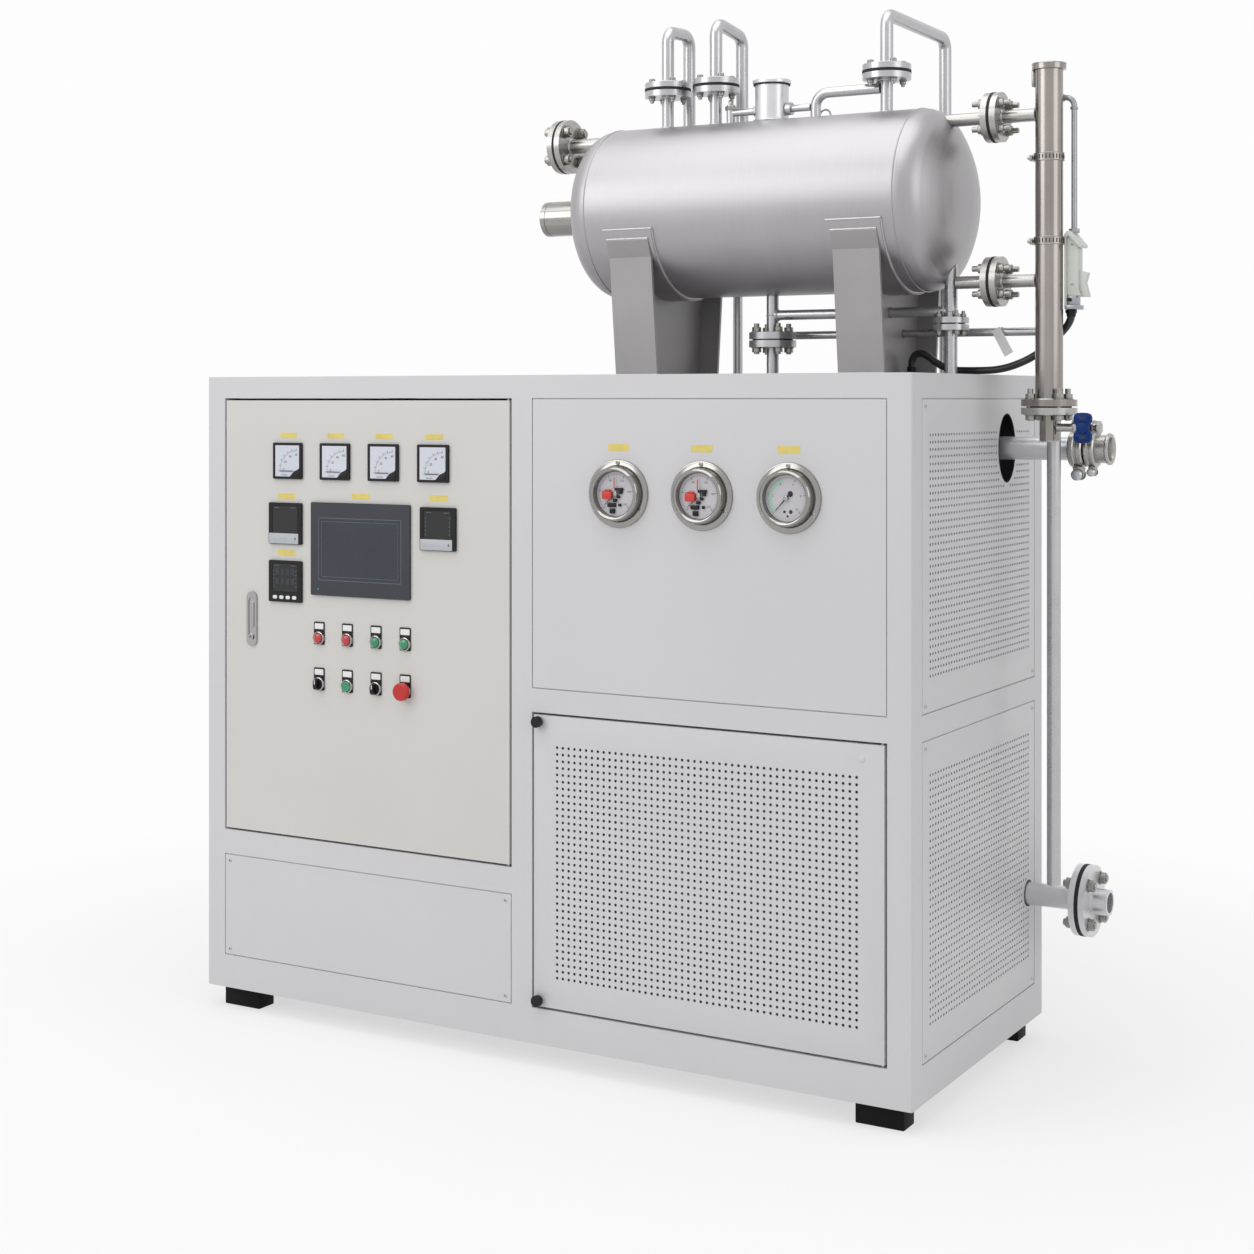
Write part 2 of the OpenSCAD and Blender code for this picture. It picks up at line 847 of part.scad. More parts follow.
module hinge_bores(x, z_low, z_high) {
  r = hinge_pin_d / 2 + pin_play;
  for (z = [z_low, z_high - pin_reach - 1])
    translate([x - hinge_inset, y0 + hinge_inset, z - eps]) cylinder(h = pin_reach + 1 + 2 * eps, r = r);
}

module pin_pair(x, z_low, z_high) {
  // pivot pins that stand from the rails into a leaf's corner blocks
  for (z = [z_low - door_gap, z_high - pin_reach])
    translate([x - hinge_inset, y0 + hinge_inset, z])
      cylinder(h = pin_reach + door_gap, r = hinge_pin_d / 2);
}

module hinge_pins() {
  color(steel) {
    pin_pair(leaf_x1, leaf_z0, leaf_z1);
    pin_pair(vent_x1, vent_z0, vent_z1);
  }
}

module control_door() {
  w = leaf_x1 - leaf_x0;
  h = leaf_z1 - leaf_z0;
  color(door_paint) difference() {
    union() {
      translate([(leaf_x0 + leaf_x1) / 2, y0 + leaf_d, (leaf_z0 + leaf_z1) / 2])
        rotate([90, 0, 0]) leaf(w, h);
      hinge_blocks(leaf_x1, leaf_z0, leaf_z1);
    }
    hinge_bores(leaf_x1, leaf_z0, leaf_z1);
    for (x = meter_xs()) cut_rect(x, meter_z, meter_body, meter_body);
    for (p = controller_places()) cut_rect(p[0], p[1], controller_body, controller_body);
    cut_rect(screen_x, screen_z, screen_w - 2 * screen_frame, screen_h - 2 * screen_frame);
    for (p = concat(button_places(), [selector_at(0), selector_at(2), stop_at()]))
      rod([p[0], y0 - 1, p[1]], [p[0], y0 + leaf_d, p[1]], button_hole_r);
  }
}

function meter_xs() = [for (i = [0:3]) meter_x0 + i * meter_pitch];
function controller_places() = [
  [ctrl_left_x, ctrl_top_z], [ctrl_left_x, ctrl_low_z], [ctrl_right_x, ctrl_top_z]
];
function button_places() = concat(
  [for (i = [0:3]) [button_x0 + i * button_pitch, button_z]],
  [[button_x0 + button_pitch, button_z - button_rows]]
);
function selector_at(i) = [button_x0 + i * button_pitch, button_z - button_rows];
function stop_at() = [button_x0 + 3 * button_pitch, button_z - button_rows];

module cut_rect(x, z, w, h) {
  box([x - w / 2, y0 - 1, z - h / 2], [x + w / 2, y0 + sheet_t + 1, z + h / 2]);
}

module bezel(x, z, w, h, t, body_w, body_h, depth) {
  // instrument: a rounded bezel in front of the leaf and its body behind
  translate([x, y0, z]) rotate([90, 0, 0]) {
    linear_extrude(t) rounded(w, h, bezel_r);
    translate([0, 0, -depth]) linear_extrude(depth)
      square([body_w - 2 * cut_play, body_h - 2 * cut_play], center = true);
  }
}

module ammeters() {
  color(dark) for (x = meter_xs()) difference() {
    bezel(x, meter_z, meter_w, meter_w, bezel_t, meter_body, meter_body, meter_depth);
    window(x, meter_z, meter_w - 2 * bezel_rim, meter_w - 2 * bezel_rim);
  }
}

module window(x, z, w, h) {
  // sunk face of an instrument
  translate([x, y0 - bezel_t + window_sink, z]) rotate([90, 0, 0])
    linear_extrude(window_sink + 1) square([w, h], center = true);
}

module controllers() {
  color(dark) for (p = controller_places()) difference() {
    bezel(p[0], p[1], controller_w, controller_w, bezel_t,
      controller_body, controller_body, controller_depth);
    window(p[0], p[1] + controller_strip, controller_w - 2 * controller_rim,
      controller_w - 2 * controller_rim - controller_strip);
  }
}

module touch_panel() {
  color("#3a3f4a") difference() {
    bezel(screen_x, screen_z, screen_w, screen_h, bezel_t,
      screen_w - 2 * screen_frame, screen_h - 2 * screen_frame, screen_depth);
    window(screen_x, screen_z, screen_w - 2 * screen_rim_x, screen_h - 2 * screen_rim_z);
  }
}

module button_plates() {
  // label holders behind the button rings, ten places in two rows
  places = concat(button_places(), [selector_at(0), selector_at(2), stop_at()]);
  color(dark) for (p = places) translate([p[0], y0, p[1]]) rotate([90, 0, 0])
    linear_extrude(plate_t) difference() {
      translate([0, holder_rise]) rounded(button_d, button_d + holder_extra, bezel_r);
      circle(button_hole_r);
    }
}

module push_button(p) {
  // ring, lens and the body behind the leaf
  r = button_d / 2;
  translate([p[0], y0 - plate_t, p[1]]) rotate([90, 0, 0]) {
    linear_extrude(ring_t) ring(r, r - ring_w);
    cylinder(h = lens_h, r = r - ring_w - cut_play);
    translate([0, 0, -button_body]) cylinder(h = button_body + 1, r = button_hole_r - cut_play);
  }
}

module push_buttons() {
  color("#b8352f") for (p = button_places()) push_button(p);
}

module selector(p) {
  // turning switch: disc, raised grip and the body behind the leaf
  r = button_d / 2;
  translate([p[0], y0 - plate_t, p[1]]) rotate([90, 0, 0]) {
    translate([0, 0, cut_play]) cylinder(h = disc_h, r = r - 3);
    translate([0, 0, disc_h]) linear_extrude(grip_h) rounded(grip_w, 2 * r - 8, 4);
    translate([0, 0, -button_body]) cylinder(h = button_body + 1, r = button_hole_r - cut_play);
  }
}

module selector_left() {
  color(dark) selector(selector_at(0));
}

module selector_right() {
  color(dark) selector(selector_at(2));
}

module stop_button() {
  // mushroom head on its stem
  p = stop_at();
  head_z = stop_travel + stop_gap;
  color("#c33a2c") translate([p[0], y0 - plate_t, p[1]]) rotate([90, 0, 0]) {
    translate([0, 0, -button_body])
      cylinder(h = button_body + head_z + stop_round, r = button_hole_r - cut_play);
    translate([0, 0, head_z]) rotate_extrude() {
      square([stop_d / 2 - stop_round, stop_h]);
      square([stop_d / 2, stop_h - stop_round]);
      translate([stop_d / 2 - stop_round, stop_h - stop_round]) intersection() {
        circle(stop_round);
        square(stop_round);
      }
    }
  }
}

module door_lock() {
  // flush oblong lock: raised oval escutcheon with a round key barrel
  slot_r = lock_slot_w / 2 - 0.1;
  color(steel) translate([lock_x, y0, lock_z]) rotate([90, 0, 0]) {
    linear_extrude(lock_t) difference() {
      rounded(lock_w, lock_h, lock_w / 2 - 0.1);
      rounded(lock_slot_w, lock_slot_h, slot_r);
    }
    linear_extrude(lock_t / 2) rounded(lock_slot_w, lock_slot_h, slot_r);
    translate([0, -lock_key_drop, lock_t / 2]) cylinder(h = lock_t, r = lock_key_r);
  }
}

module vent_door() {
  w = vent_x1 - vent_x0;
  h = vent_z1 - vent_z0;
  color(paint) difference() {
    union() {
      translate([(vent_x0 + vent_x1) / 2, y0 + leaf_d, (vent_z0 + vent_z1) / 2]) rotate([90, 0, 0]) {
        linear_extrude(leaf_d - sheet_t) difference() {
          square([w, h], center = true);
          square([w - 2 * sheet_t, h - 2 * sheet_t], center = true);
        }
        translate([0, 0, leaf_d - sheet_t]) linear_extrude(sheet_t) perforated(w, h, vent_margin_x, vent_margin_z);
      }
      hinge_blocks(vent_x1, vent_z0, vent_z1);
    }
    hinge_bores(vent_x1, vent_z0, vent_z1);
  }
}

module vent_knobs() {
  x = vent_x0 + knob_inset;
  color(dark) for (z = [vent_z0 + knob_inset, vent_z1 - knob_inset])
    knob([x, y0, z], [0, -1, 0], knob_d / 2, knob_h);
}

// Gauges

function gauge_xs() = [for (i = [-1:1]) gauge_mid_x + i * gauge_pitch];

module gauge_cases() {
  // rim on the panel with three screw holes, raised ring and the closed body
  r = gauge_d / 2;
  color(steel) for (x = gauge_xs()) translate([x, y0, gauge_z0]) rotate([90, 0, 0]) {
    linear_extrude(gauge_rim_t) difference() {
      circle(r, $fn = 96);
      circle(gauge_body_r - gauge_wall);
      for (i = [0:2]) rotate(90 + 120 * i) translate([r - gauge_screw_in, 0])
        circle(gauge_screw_r, $fn = 24);
    }
    translate([0, 0, gauge_rim_t]) linear_extrude(gauge_ring_h)
      ring(gauge_body_r + gauge_ring_w, gauge_body_r);
    translate([0, 0, -gauge_depth]) linear_extrude(gauge_depth + gauge_rim_t)
      ring(gauge_body_r, gauge_body_r - gauge_wall);
    translate([0, 0, -gauge_depth]) cylinder(h = gauge_wall - 1, r = gauge_body_r);
  }
}

module gauge_dials() {
  color("#f2f2ee") for (x = gauge_xs()) translate([x, y0, gauge_z0]) rotate([90, 0, 0]) {
    translate([0, 0, gauge_rim_t]) cylinder(h = dial_h, r = gauge_body_r - cut_play, $fn = 96);
    translate([0, 0, gauge_rim_t + dial_h]) cylinder(h = hub_h, r = hub_r);
  }
}

// Tank

module tank_shell() {
  color(tank_paint) translate([tank_x0, 0, tank_z]) rotate([0, 90, 0])
    linear_extrude(tank_l) difference() {
      circle(tank_r, $fn = 128);
      circle(tank_r - tank_t, $fn = 128);
    }
}

module tank_head() {
  rotate_extrude($fn = 128) difference() {
    head_half(0);
    head_half(-tank_t);
  }
}

module tank_head_left() {
  color(tank_paint) translate([tank_x0, 0, tank_z]) rotate([0, -90, 0]) tank_head();
}

module tank_head_right() {
  color(tank_paint) translate([tank_x1, 0, tank_z]) rotate([0, 90, 0]) tank_head();
}

module saddle(x, pipe_hole) {
  // two leaning end plates, a web and the curved wear plate
  r = tank_r + seat + wear_t;
  color(tank_paint) translate([x, 0, 0]) rotate([90, 0, 90]) {
    for (s = [-1, 1]) translate([0, 0, -saddle_w / 2]) linear_extrude(saddle_w) difference() {
      polygon([
        [s * saddle_foot, deck_z], [s * (saddle_foot - saddle_t), deck_z],
        [s * (saddle_top - saddle_t), saddle_top_z], [s * saddle_top, saddle_top_z]
      ]);
      translate([0, tank_z]) circle(r, $fn = 128);
    }
    translate([0, 0, -saddle_t / 2]) linear_extrude(saddle_t) difference() {
      polygon([
        [-saddle_foot + saddle_t, deck_z], [saddle_foot - saddle_t, deck_z],
        [saddle_top - saddle_t, saddle_top_z], [-saddle_top + saddle_t, saddle_top_z]
      ]);
      translate([0, tank_z]) circle(r, $fn = 128);
      if (pipe_hole) {
        translate([0, cross_z]) circle(cross_r + seam_play);
        translate([overflow_y, overflow_z]) circle(spill_r + seam_play);
      }
    }
    translate([0, 0, -wear_w / 2]) linear_extrude(wear_w) difference() {
      translate([0, tank_z]) circle(r, $fn = 128);
      translate([0, tank_z]) circle(tank_r + seat, $fn = 128);
      translate([-r - 1, wear_top_z]) square([2 * r + 2, 2 * r]);
    }
  }
}

module saddle_left() {
  saddle(saddle_x0, false);
}

module saddle_right() {
  saddle(saddle_x1, true);
}

module filler_neck() {
  color(tank_paint) difference() {
    tube([neck_x, 0, tank_z], [neck_x, 0, tank_top_z + neck_h - lid_t], neck_d / 2, pipe_t);
    tank_hull(seat);
    thin_line_holes();
  }
}

module thin_line_holes() {
  rod([neck_x - neck_d, 0, thin_z], [neck_x + neck_d, 0, thin_z], thin_r + seat);
}

module filler_lid() {
  color(tank_paint) translate([neck_x, 0, tank_top_z + neck_h - lid_t])
    cylinder(h = lid_t, r = neck_d / 2 + lid_lap);
}

module tank_nozzles() {
  // three top stubs with their lower flanges
  color(tank_paint) for (x = nozzle_x) {
    difference() {
      rod([x, 0, tank_top_z - sink], [x, 0, nozzle_z - flange_t], pipe_r);
      tank_hull(seat);
    }
    small_flange([x, 0, nozzle_z - flange_t], [0, 0, 1]);
  }
}

module vent_loop(i) {
  // upper flange, riser and the bend back over the tank
  x = nozzle_x[i];
  z = nozzle_z + gasket_t;
  zt = loop_top[i] - pipe_r;
  y = loop_back[i];
  color(tank_paint) {
    small_flange([x, 0, z], [0, 0, 1]);
    difference() {
      run([[x, 0, z + flange_t], [x, 0, zt], [x, y, zt], [x, y, loop_end_z[i]]], pipe_r);
      tank_hull(seat);
    }
  }
}

module vent_loop_left() {
  vent_loop(0);
}

module vent_loop_middle() {
  vent_loop(1);
}

module vent_loop_right() {
  vent_loop(2);
}

module head_nozzle() {
  // flanged nozzle out of the left head, closed by a blind flange with a plug
  x1f = head_nozzle_x - flange_t - gasket_t;
  x2f = x1f - flange_t;
  color(tank_paint) {
    difference() {
      rod([tank_x0 - sink, 0, head_nozzle_z], [head_nozzle_x, 0, head_nozzle_z], head_nozzle_r);
      tank_hull(seat);
    }
    head_flange(head_nozzle_x, head_nozzle_r - pipe_t);
    head_flange(x1f, 4);
    rod([x2f, 0, head_nozzle_z], [x2f - head_plug_l, 0, head_nozzle_z], head_plug_r);
  }
}

module head_flange(x, bore) {
  flange([x, 0, head_nozzle_z], [-1, 0, 0], head_flange_d, flange_t, bore, head_pcd, head_hole);
}

module head_socket() {
  // capped coupling at the centre of the left head, with a groove round it
  groove_x = socket_x - socket_near;
  color(steel) {
    difference() {
      rod([socket_x + sink, 0, tank_z], [groove_x, 0, tank_z], socket_r);
      tank_hull(seat);
    }
    rod([groove_x, 0, tank_z], [groove_x - socket_groove, 0, tank_z], socket_r - 1.5);
    rod([groove_x - socket_groove, 0, tank_z], [socket_x - socket_l, 0, tank_z], socket_r);
  }
}

module bypass_pipe() {
  // from the right stub back along the tank's top, plus the thin vent line
  near = neck_d / 2 + seat;
  color(tank_paint) {
    difference() {
      run([[nozzle_x[2] - pipe_r - seat, 0, bypass_z], [bypass_x, 0, bypass_z],
           [bypass_x, 0, tank_top_z - sink]], bypass_r, bypass_bend);
      tank_hull(seat);
    }
    rod([neck_x + near, 0, thin_z], [bypass_x - bypass_r - seat, 0, thin_z], thin_r);
    rod([neck_x + near, 0, thin_z], [neck_x + near + neck_play, 0, thin_z], thin_nut_r);
    rod([neck_x - near, 0, thin_z], [cock_x, 0, thin_z], thin_r);
    difference() {
      rod([cock_x, 0, tank_top_z - sink], [cock_x, 0, thin_z + cock_h], cock_r);
      tank_hull(seat);
    }
  }
}

module expansion_line() {
  // drop from the tank's bottom, cross pipe and the riser beside the right head
  drop_top = drop_flange_z + gasket_t;
  riser_top = riser_flange_z + gasket_t;
  color(tank_paint) {
    difference() {
      rod([drop_x, 0, drop_top + flange_t], [drop_x, 0, tank_z - tank_r + sink], pipe_r);
      tank_hull(seat);
    }
    small_flange([drop_x, 0, drop_top], [0, 0, 1]);
    small_flange([drop_x, 0, drop_flange_z], [0, 0, -1]);
    rod([drop_x, 0, casing_z1], [drop_x, 0, drop_flange_z - flange_t], pipe_r);
    rod([drop_x, 0, cross_z], [riser_x, 0, cross_z], cross_r);
    difference() {
      rod([riser_x, 0, riser_top + riser_flange_t], [riser_x, 0, tank_z], pipe_r);
      tank_hull(seat);
    }
    riser_flange(riser_top, [0, 0, 1]);
    riser_flange(riser_flange_z, [0, 0, -1]);
    rod([riser_x, 0, casing_z1], [riser_x, 0, riser_flange_z - riser_flange_t], pipe_r);
    difference() {
      run([[rear_pipe[0], rear_pipe[1], casing_z1], [rear_pipe[0], rear_pipe[1], rear_pipe_z],
           [rear_pipe[0], tank_r - rear_reach, rear_pipe_z]], rear_r);
      tank_hull(seat);
    }
  }
}

module riser_flange(z, d) {
  flange([riser_x, 0, z], d, riser_flange_d, riser_flange_t, pipe_r - pipe_t, riser_pcd, riser_hole);
}

module overflow_pipe() {
  // from the deck over to the long open pipe beside the level column
  r = overflow_d / 2;
  top = overflow_z + overflow_head;
  color(tank_paint) {
    run([[spill_x, overflow_y, deck_z], [spill_x, overflow_y, overflow_z],
         [overflow_x - r, overflow_y, overflow_z]], spill_r, spill_bend);
    tube([overflow_x, overflow_y, overflow_end], [overflow_x, overflow_y, top], r, pipe_t);
    rod([overflow_x, overflow_y, top], [overflow_x, overflow_y, top + overflow_cap], r);
  }
}

module gaskets() {
  r = flange_d / 2 - 8;
  color(dark) {
    for (x = nozzle_x) gasket([x, 0, nozzle_z], [0, 0, 1], r, pipe_r);
    gasket([drop_x, 0, drop_flange_z], [0, 0, 1], r, pipe_r);
    gasket([riser_x, 0, riser_flange_z], [0, 0, 1], riser_gasket_r, pipe_r);
    gasket([head_nozzle_x - flange_t, 0, head_nozzle_z], [-1, 0, 0], head_gasket_r, pipe_r);
    for (z = arm_z) gasket([arm_flange_x - gasket_t / 2, 0, z], [1, 0, 0], r, pipe_r);
    gasket([column_x, 0, column_z - column_flange_t - gasket_t], [0, 0, 1],
      column_flange_d / 2 - 11.5, column_r);
    gasket([return_face_x + return_flange_t, return_y, return_z], [1, 0, 0],
      return_flange_d / 2 - 12, main_r);
  }
}

// Level column

module level_column() {
  color(steel) {
    difference() {
      tube([column_x, 0, column_z], [column_x, 0, column_top], column_r, column_t);
      for (z = arm_z) rod([column_x - column_d, 0, z], [column_x, 0, z], pipe_r + seat);
    }
    translate([column_x, 0, column_top]) cylinder(h = column_cap_t, r = column_r + column_cap_lap);
    flange([column_x, 0, column_z], [0, 0, -1], column_flange_d, column_flange_t,
      column_r - column_t, column_pcd, flange_hole);
    for (z = band_z) translate([column_x, 0, z - band_w / 2])
      linear_extrude(band_w) ring(column_r + band_t, column_r - eps);
  }
}

module column_arms() {
  g = gasket_t / 2;
  color(steel) for (z = arm_z) {
    difference() {
      rod([riser_x + (z < tank_z ? pipe_r + seat : -sink / 2), 0, z],
          [arm_flange_x - g - flange_t, 0, z], pipe_r);
      tank_hull(seat);
    }
    small_flange([arm_flange_x - g, 0, z], [-1, 0, 0]);
    small_flange([arm_flange_x + g, 0, z], [1, 0, 0]);
    rod([arm_flange_x + g + flange_t, 0, z], [column_x - column_r + 1.5, 0, z], pipe_r);
  }
}

module column_drain() {
  // bottom flange, capped stub and the thin drain line
  z = column_z - column_flange_t - gasket_t;
  zs = z - column_flange_t;
  color(steel) {
    flange([column_x, 0, z], [0, 0, -1], column_flange_d, column_flange_t,
      stub_r - pipe_t, column_pcd, flange_hole);
    rod([column_x, 0, zs], [column_x, 0, zs - stub_l], stub_r);
    rod([column_x + stub_r - 1, 0, drain_z], [valve_x - valve_half, 0, drain_z], drain_d / 2);
  }
}

module drain_valve() {
  // ball valve body with its bonnet and stem towards the front
  c = [valve_x, 0, drain_z];
  color(steel) difference() {
    union() {
      rod(c - [valve_half, 0, 0], c + [valve_half, 0, 0], valve_r);
      rod(c - [valve_body_half, 0, 0], c + [valve_body_half, 0, 0], valve_body_r);
      rod(c, c - [0, bonnet_l, 0], bonnet_r);
      rod(c - [0, bonnet_l, 0], c - [0, stem_l, 0], stem_r);
    }
    rod(c + [stem_r, 0, 0], c + [valve_half + 1, 0, 0], valve_bore);
  }
}

module valve_handle() {
  // two-wing grip on the valve's stem
  c = [valve_x, 0, drain_z];
  color("#1f4fa8") difference() {
    union() {
      rod(c - [0, handle_y, 0], c - [0, handle_l, 0], handle_r);
      translate(c - [0, wing_y, 0]) rotate([90, 0, 0])
        linear_extrude(wing_t) rounded(wing_w, wing_h, wing_w / 2 - 1);
    }
    rod(c - [0, bonnet_l - 2, 0], c - [0, stem_l + 0.5, 0], stem_r + stem_play);
  }
}

module level_switch() {
  // switch housing with sloped lid behind the column, and its conduit
  y = switch_d / 2;
  color("#ecedee") translate([switch_x, switch_d, switch_z]) rotate([90, 0, 0])
    linear_extrude(switch_d) polygon(switch_side);
  color(steel) difference() {
    run([[column_x, y, conduit_z], [conduit_x, y, conduit_z], [conduit_x, y, conduit_end_z]],
      conduit_r, conduit_bend);
    rod([column_x, 0, column_z], [column_x, 0, column_top], column_r + seat);
  }
}

// Oil pipes

module outlet_pipe() {
  color(tank_paint)
    tube([casing_x1, outlet_y, outlet_z], [coupling_x, outlet_y, outlet_z], main_r, pipe_t);
}

module outlet_coupling() {
  // split clamp with bolt ears on the outlet's end
  c = [coupling_x, outlet_y, outlet_z];
  r = main_r;
  first = coupling_ring_x[0];
  second = coupling_ring_x[1];
  color(steel) difference() {
    union() {
      rod(c, c + [coupling_l, 0, 0], r + coupling_wall);
      for (x = coupling_ring_x) rod(c + [x[0], 0, 0], c + [x[1], 0, 0], r + coupling_ring);
      rod(c + [coupling_lip[0], 0, 0], c + [coupling_lip[1], 0, 0], r + coupling_ring - 3);
      box(c + [first[0] + 4, -ear_t, -r - ear_h], c + [first[1] - 4, ear_t, -r]);
      box(c + [first[0] + 4, -ear_t, r], c + [first[1] - 4, ear_t, r + ear_h]);
      box(c + [second[0] + 2, 2 - ear_t, r], c + [second[1] - 2, ear_t - 2, r + ear_h - 2]);
    }
    rod(c - [1, 0, 0], c + [coupling_lip[1] + 1, 0, 0], r - 1);
  }
}

module return_pipe() {
  // pipe, flange pair and open weld hub
  c = [return_face_x, return_y, return_z];
  outer = return_flange_t + gasket_t;
  color(tank_paint) {
    tube([casing_x1, return_y, return_z], c, main_r, pipe_t);
    return_flange(c);
    return_flange(c + [outer, 0, 0]);
    tube(c + [outer + return_flange_t, 0, 0], c + [outer + return_flange_t + hub_l, 0, 0],
      main_r + hub_wall, pipe_t + hub_wall);
  }
}

module return_flange(p) {
  flange(p, [1, 0, 0], return_flange_d, return_flange_t, main_r - pipe_t, return_pcd, return_hole);
}

// Cable

module cable_gland() {
  // gland on the deck that the cable rises from
  color(dark) translate([cable_route[0][0], cable_route[0][1], deck_z]) {
    cylinder(h = 7, r = 15, $fn = 6);
    cylinder(h = gland_h, r = 11);
  }
}

function ring_at(p, d, r, n) =
  let (x = across(d), y = cross(d, x))
  [for (i = [0:n - 1]) p + (x * cos(360 * i / n) + y * sin(360 * i / n)) * r];

module signal_cable() {
  n = 10;
  m = len(cable_route);
  dirs = [for (i = [0:m - 1]) unit(cable_route[min(i + 1, m - 1)] - cable_route[max(i - 1, 0)])];
  pts = [for (i = [0:m - 1]) each ring_at(cable_route[i], dirs[i], cable_d / 2, n)];
  sides = [for (i = [0:m - 2], j = [0:n - 1])
    [i * n + j, i * n + (j + 1) % n, (i + 1) * n + (j + 1) % n, (i + 1) * n + j]];
  caps = [[for (j = [n - 1:-1:0]) j], [for (j = [0:n - 1]) (m - 1) * n + j]];
  color("#1c1c1e") polyhedron(pts, concat(sides, caps));
}

corner_posts();
middle_posts();
top_rails();
base_rails();
mid_rails();
top_plate();
floor_plate();
feet();
bay_partition();
heater_casing();
mounting_plate();
left_panels();
rear_panels();
low_panel();
gauge_panel();
side_panel_upper();
side_panel_lower();
hinge_pins();
control_door();
door_lock();
ammeters();
controllers();
touch_panel();
push_buttons();
button_plates();
selector_left();
selector_right();
stop_button();
vent_door();
vent_knobs();
gauge_cases();
gauge_dials();
tank_shell();
tank_head_left();
tank_head_right();
saddle_left();
saddle_right();
filler_neck();
filler_lid();
tank_nozzles();
vent_loop_left();
vent_loop_middle();
vent_loop_right();
head_nozzle();
head_socket();
bypass_pipe();
expansion_line();
overflow_pipe();
gaskets();
level_column();
column_arms();
column_drain();
drain_valve();
valve_handle();
level_switch();
outlet_pipe();
outlet_coupling();
return_pipe();
cable_gland();
signal_cable();
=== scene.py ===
"""Looks of a skid-mounted electric thermal-oil heater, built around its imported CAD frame.

Builders work in millimetres in the frame's own axes, and each finished mesh is in metres.
"""

import logging
import math
from dataclasses import dataclass, field
from enum import Enum

import bmesh
import bpy
from mathutils import Matrix, Vector


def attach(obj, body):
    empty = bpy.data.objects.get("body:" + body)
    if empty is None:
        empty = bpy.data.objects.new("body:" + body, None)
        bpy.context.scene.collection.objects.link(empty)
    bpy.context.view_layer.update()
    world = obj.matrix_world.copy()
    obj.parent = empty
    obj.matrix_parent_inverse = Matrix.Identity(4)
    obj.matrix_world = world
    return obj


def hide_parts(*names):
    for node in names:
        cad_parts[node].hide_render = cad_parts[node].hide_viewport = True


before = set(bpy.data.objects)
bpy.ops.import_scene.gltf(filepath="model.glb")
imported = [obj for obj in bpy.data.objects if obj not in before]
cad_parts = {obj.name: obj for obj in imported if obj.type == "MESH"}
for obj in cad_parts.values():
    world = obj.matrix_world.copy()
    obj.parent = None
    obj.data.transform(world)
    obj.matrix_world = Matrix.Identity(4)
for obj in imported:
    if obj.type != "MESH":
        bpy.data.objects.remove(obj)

LOG = logging.getLogger("heater")
MM = 0.001
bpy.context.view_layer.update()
Pair = tuple[float, float]
Point = tuple[float, float, float]
UP: Point = (0.0, 0.0, 1.0)
FRONT: Point = (0.0, -1.0, 0.0)
RIGHT: Point = (1.0, 0.0, 0.0)
LEFT: Point = (-1.0, 0.0, 0.0)
BACK: Point = (0.0, 1.0, 0.0)
DOWN: Point = (0.0, 0.0, -1.0)


# Finishes

COAT_ROUGHNESS = 0.06
GRAIN_OCTAVES = 3.0
MOTTLE_OCTAVES = 4.0
GRAIN_SHARE = 0.4
METAL_FROM = 0.5
MOTTLE_ENDS = (0.3, 0.7)
NOISE_SUM_ENDS = (0.7, 1.3)


class Grain(Enum):
    """How a finish's fine pattern runs, as the scale of its noise along X, Y and Z."""

    POWDER = (520.0, 520.0, 520.0)
    CAST = (240.0, 240.0, 240.0)
    MOULDED = (900.0, 900.0, 900.0)
    BRUSHED_Y = (900.0, 14.0, 900.0)
    BRUSHED_Z = (900.0, 900.0, 14.0)
    DRAWN_Z = (130.0, 130.0, 0.8)
    HOOPS = (420.0, 6.0, 6.0)
    SMOOTH = (60.0, 60.0, 60.0)


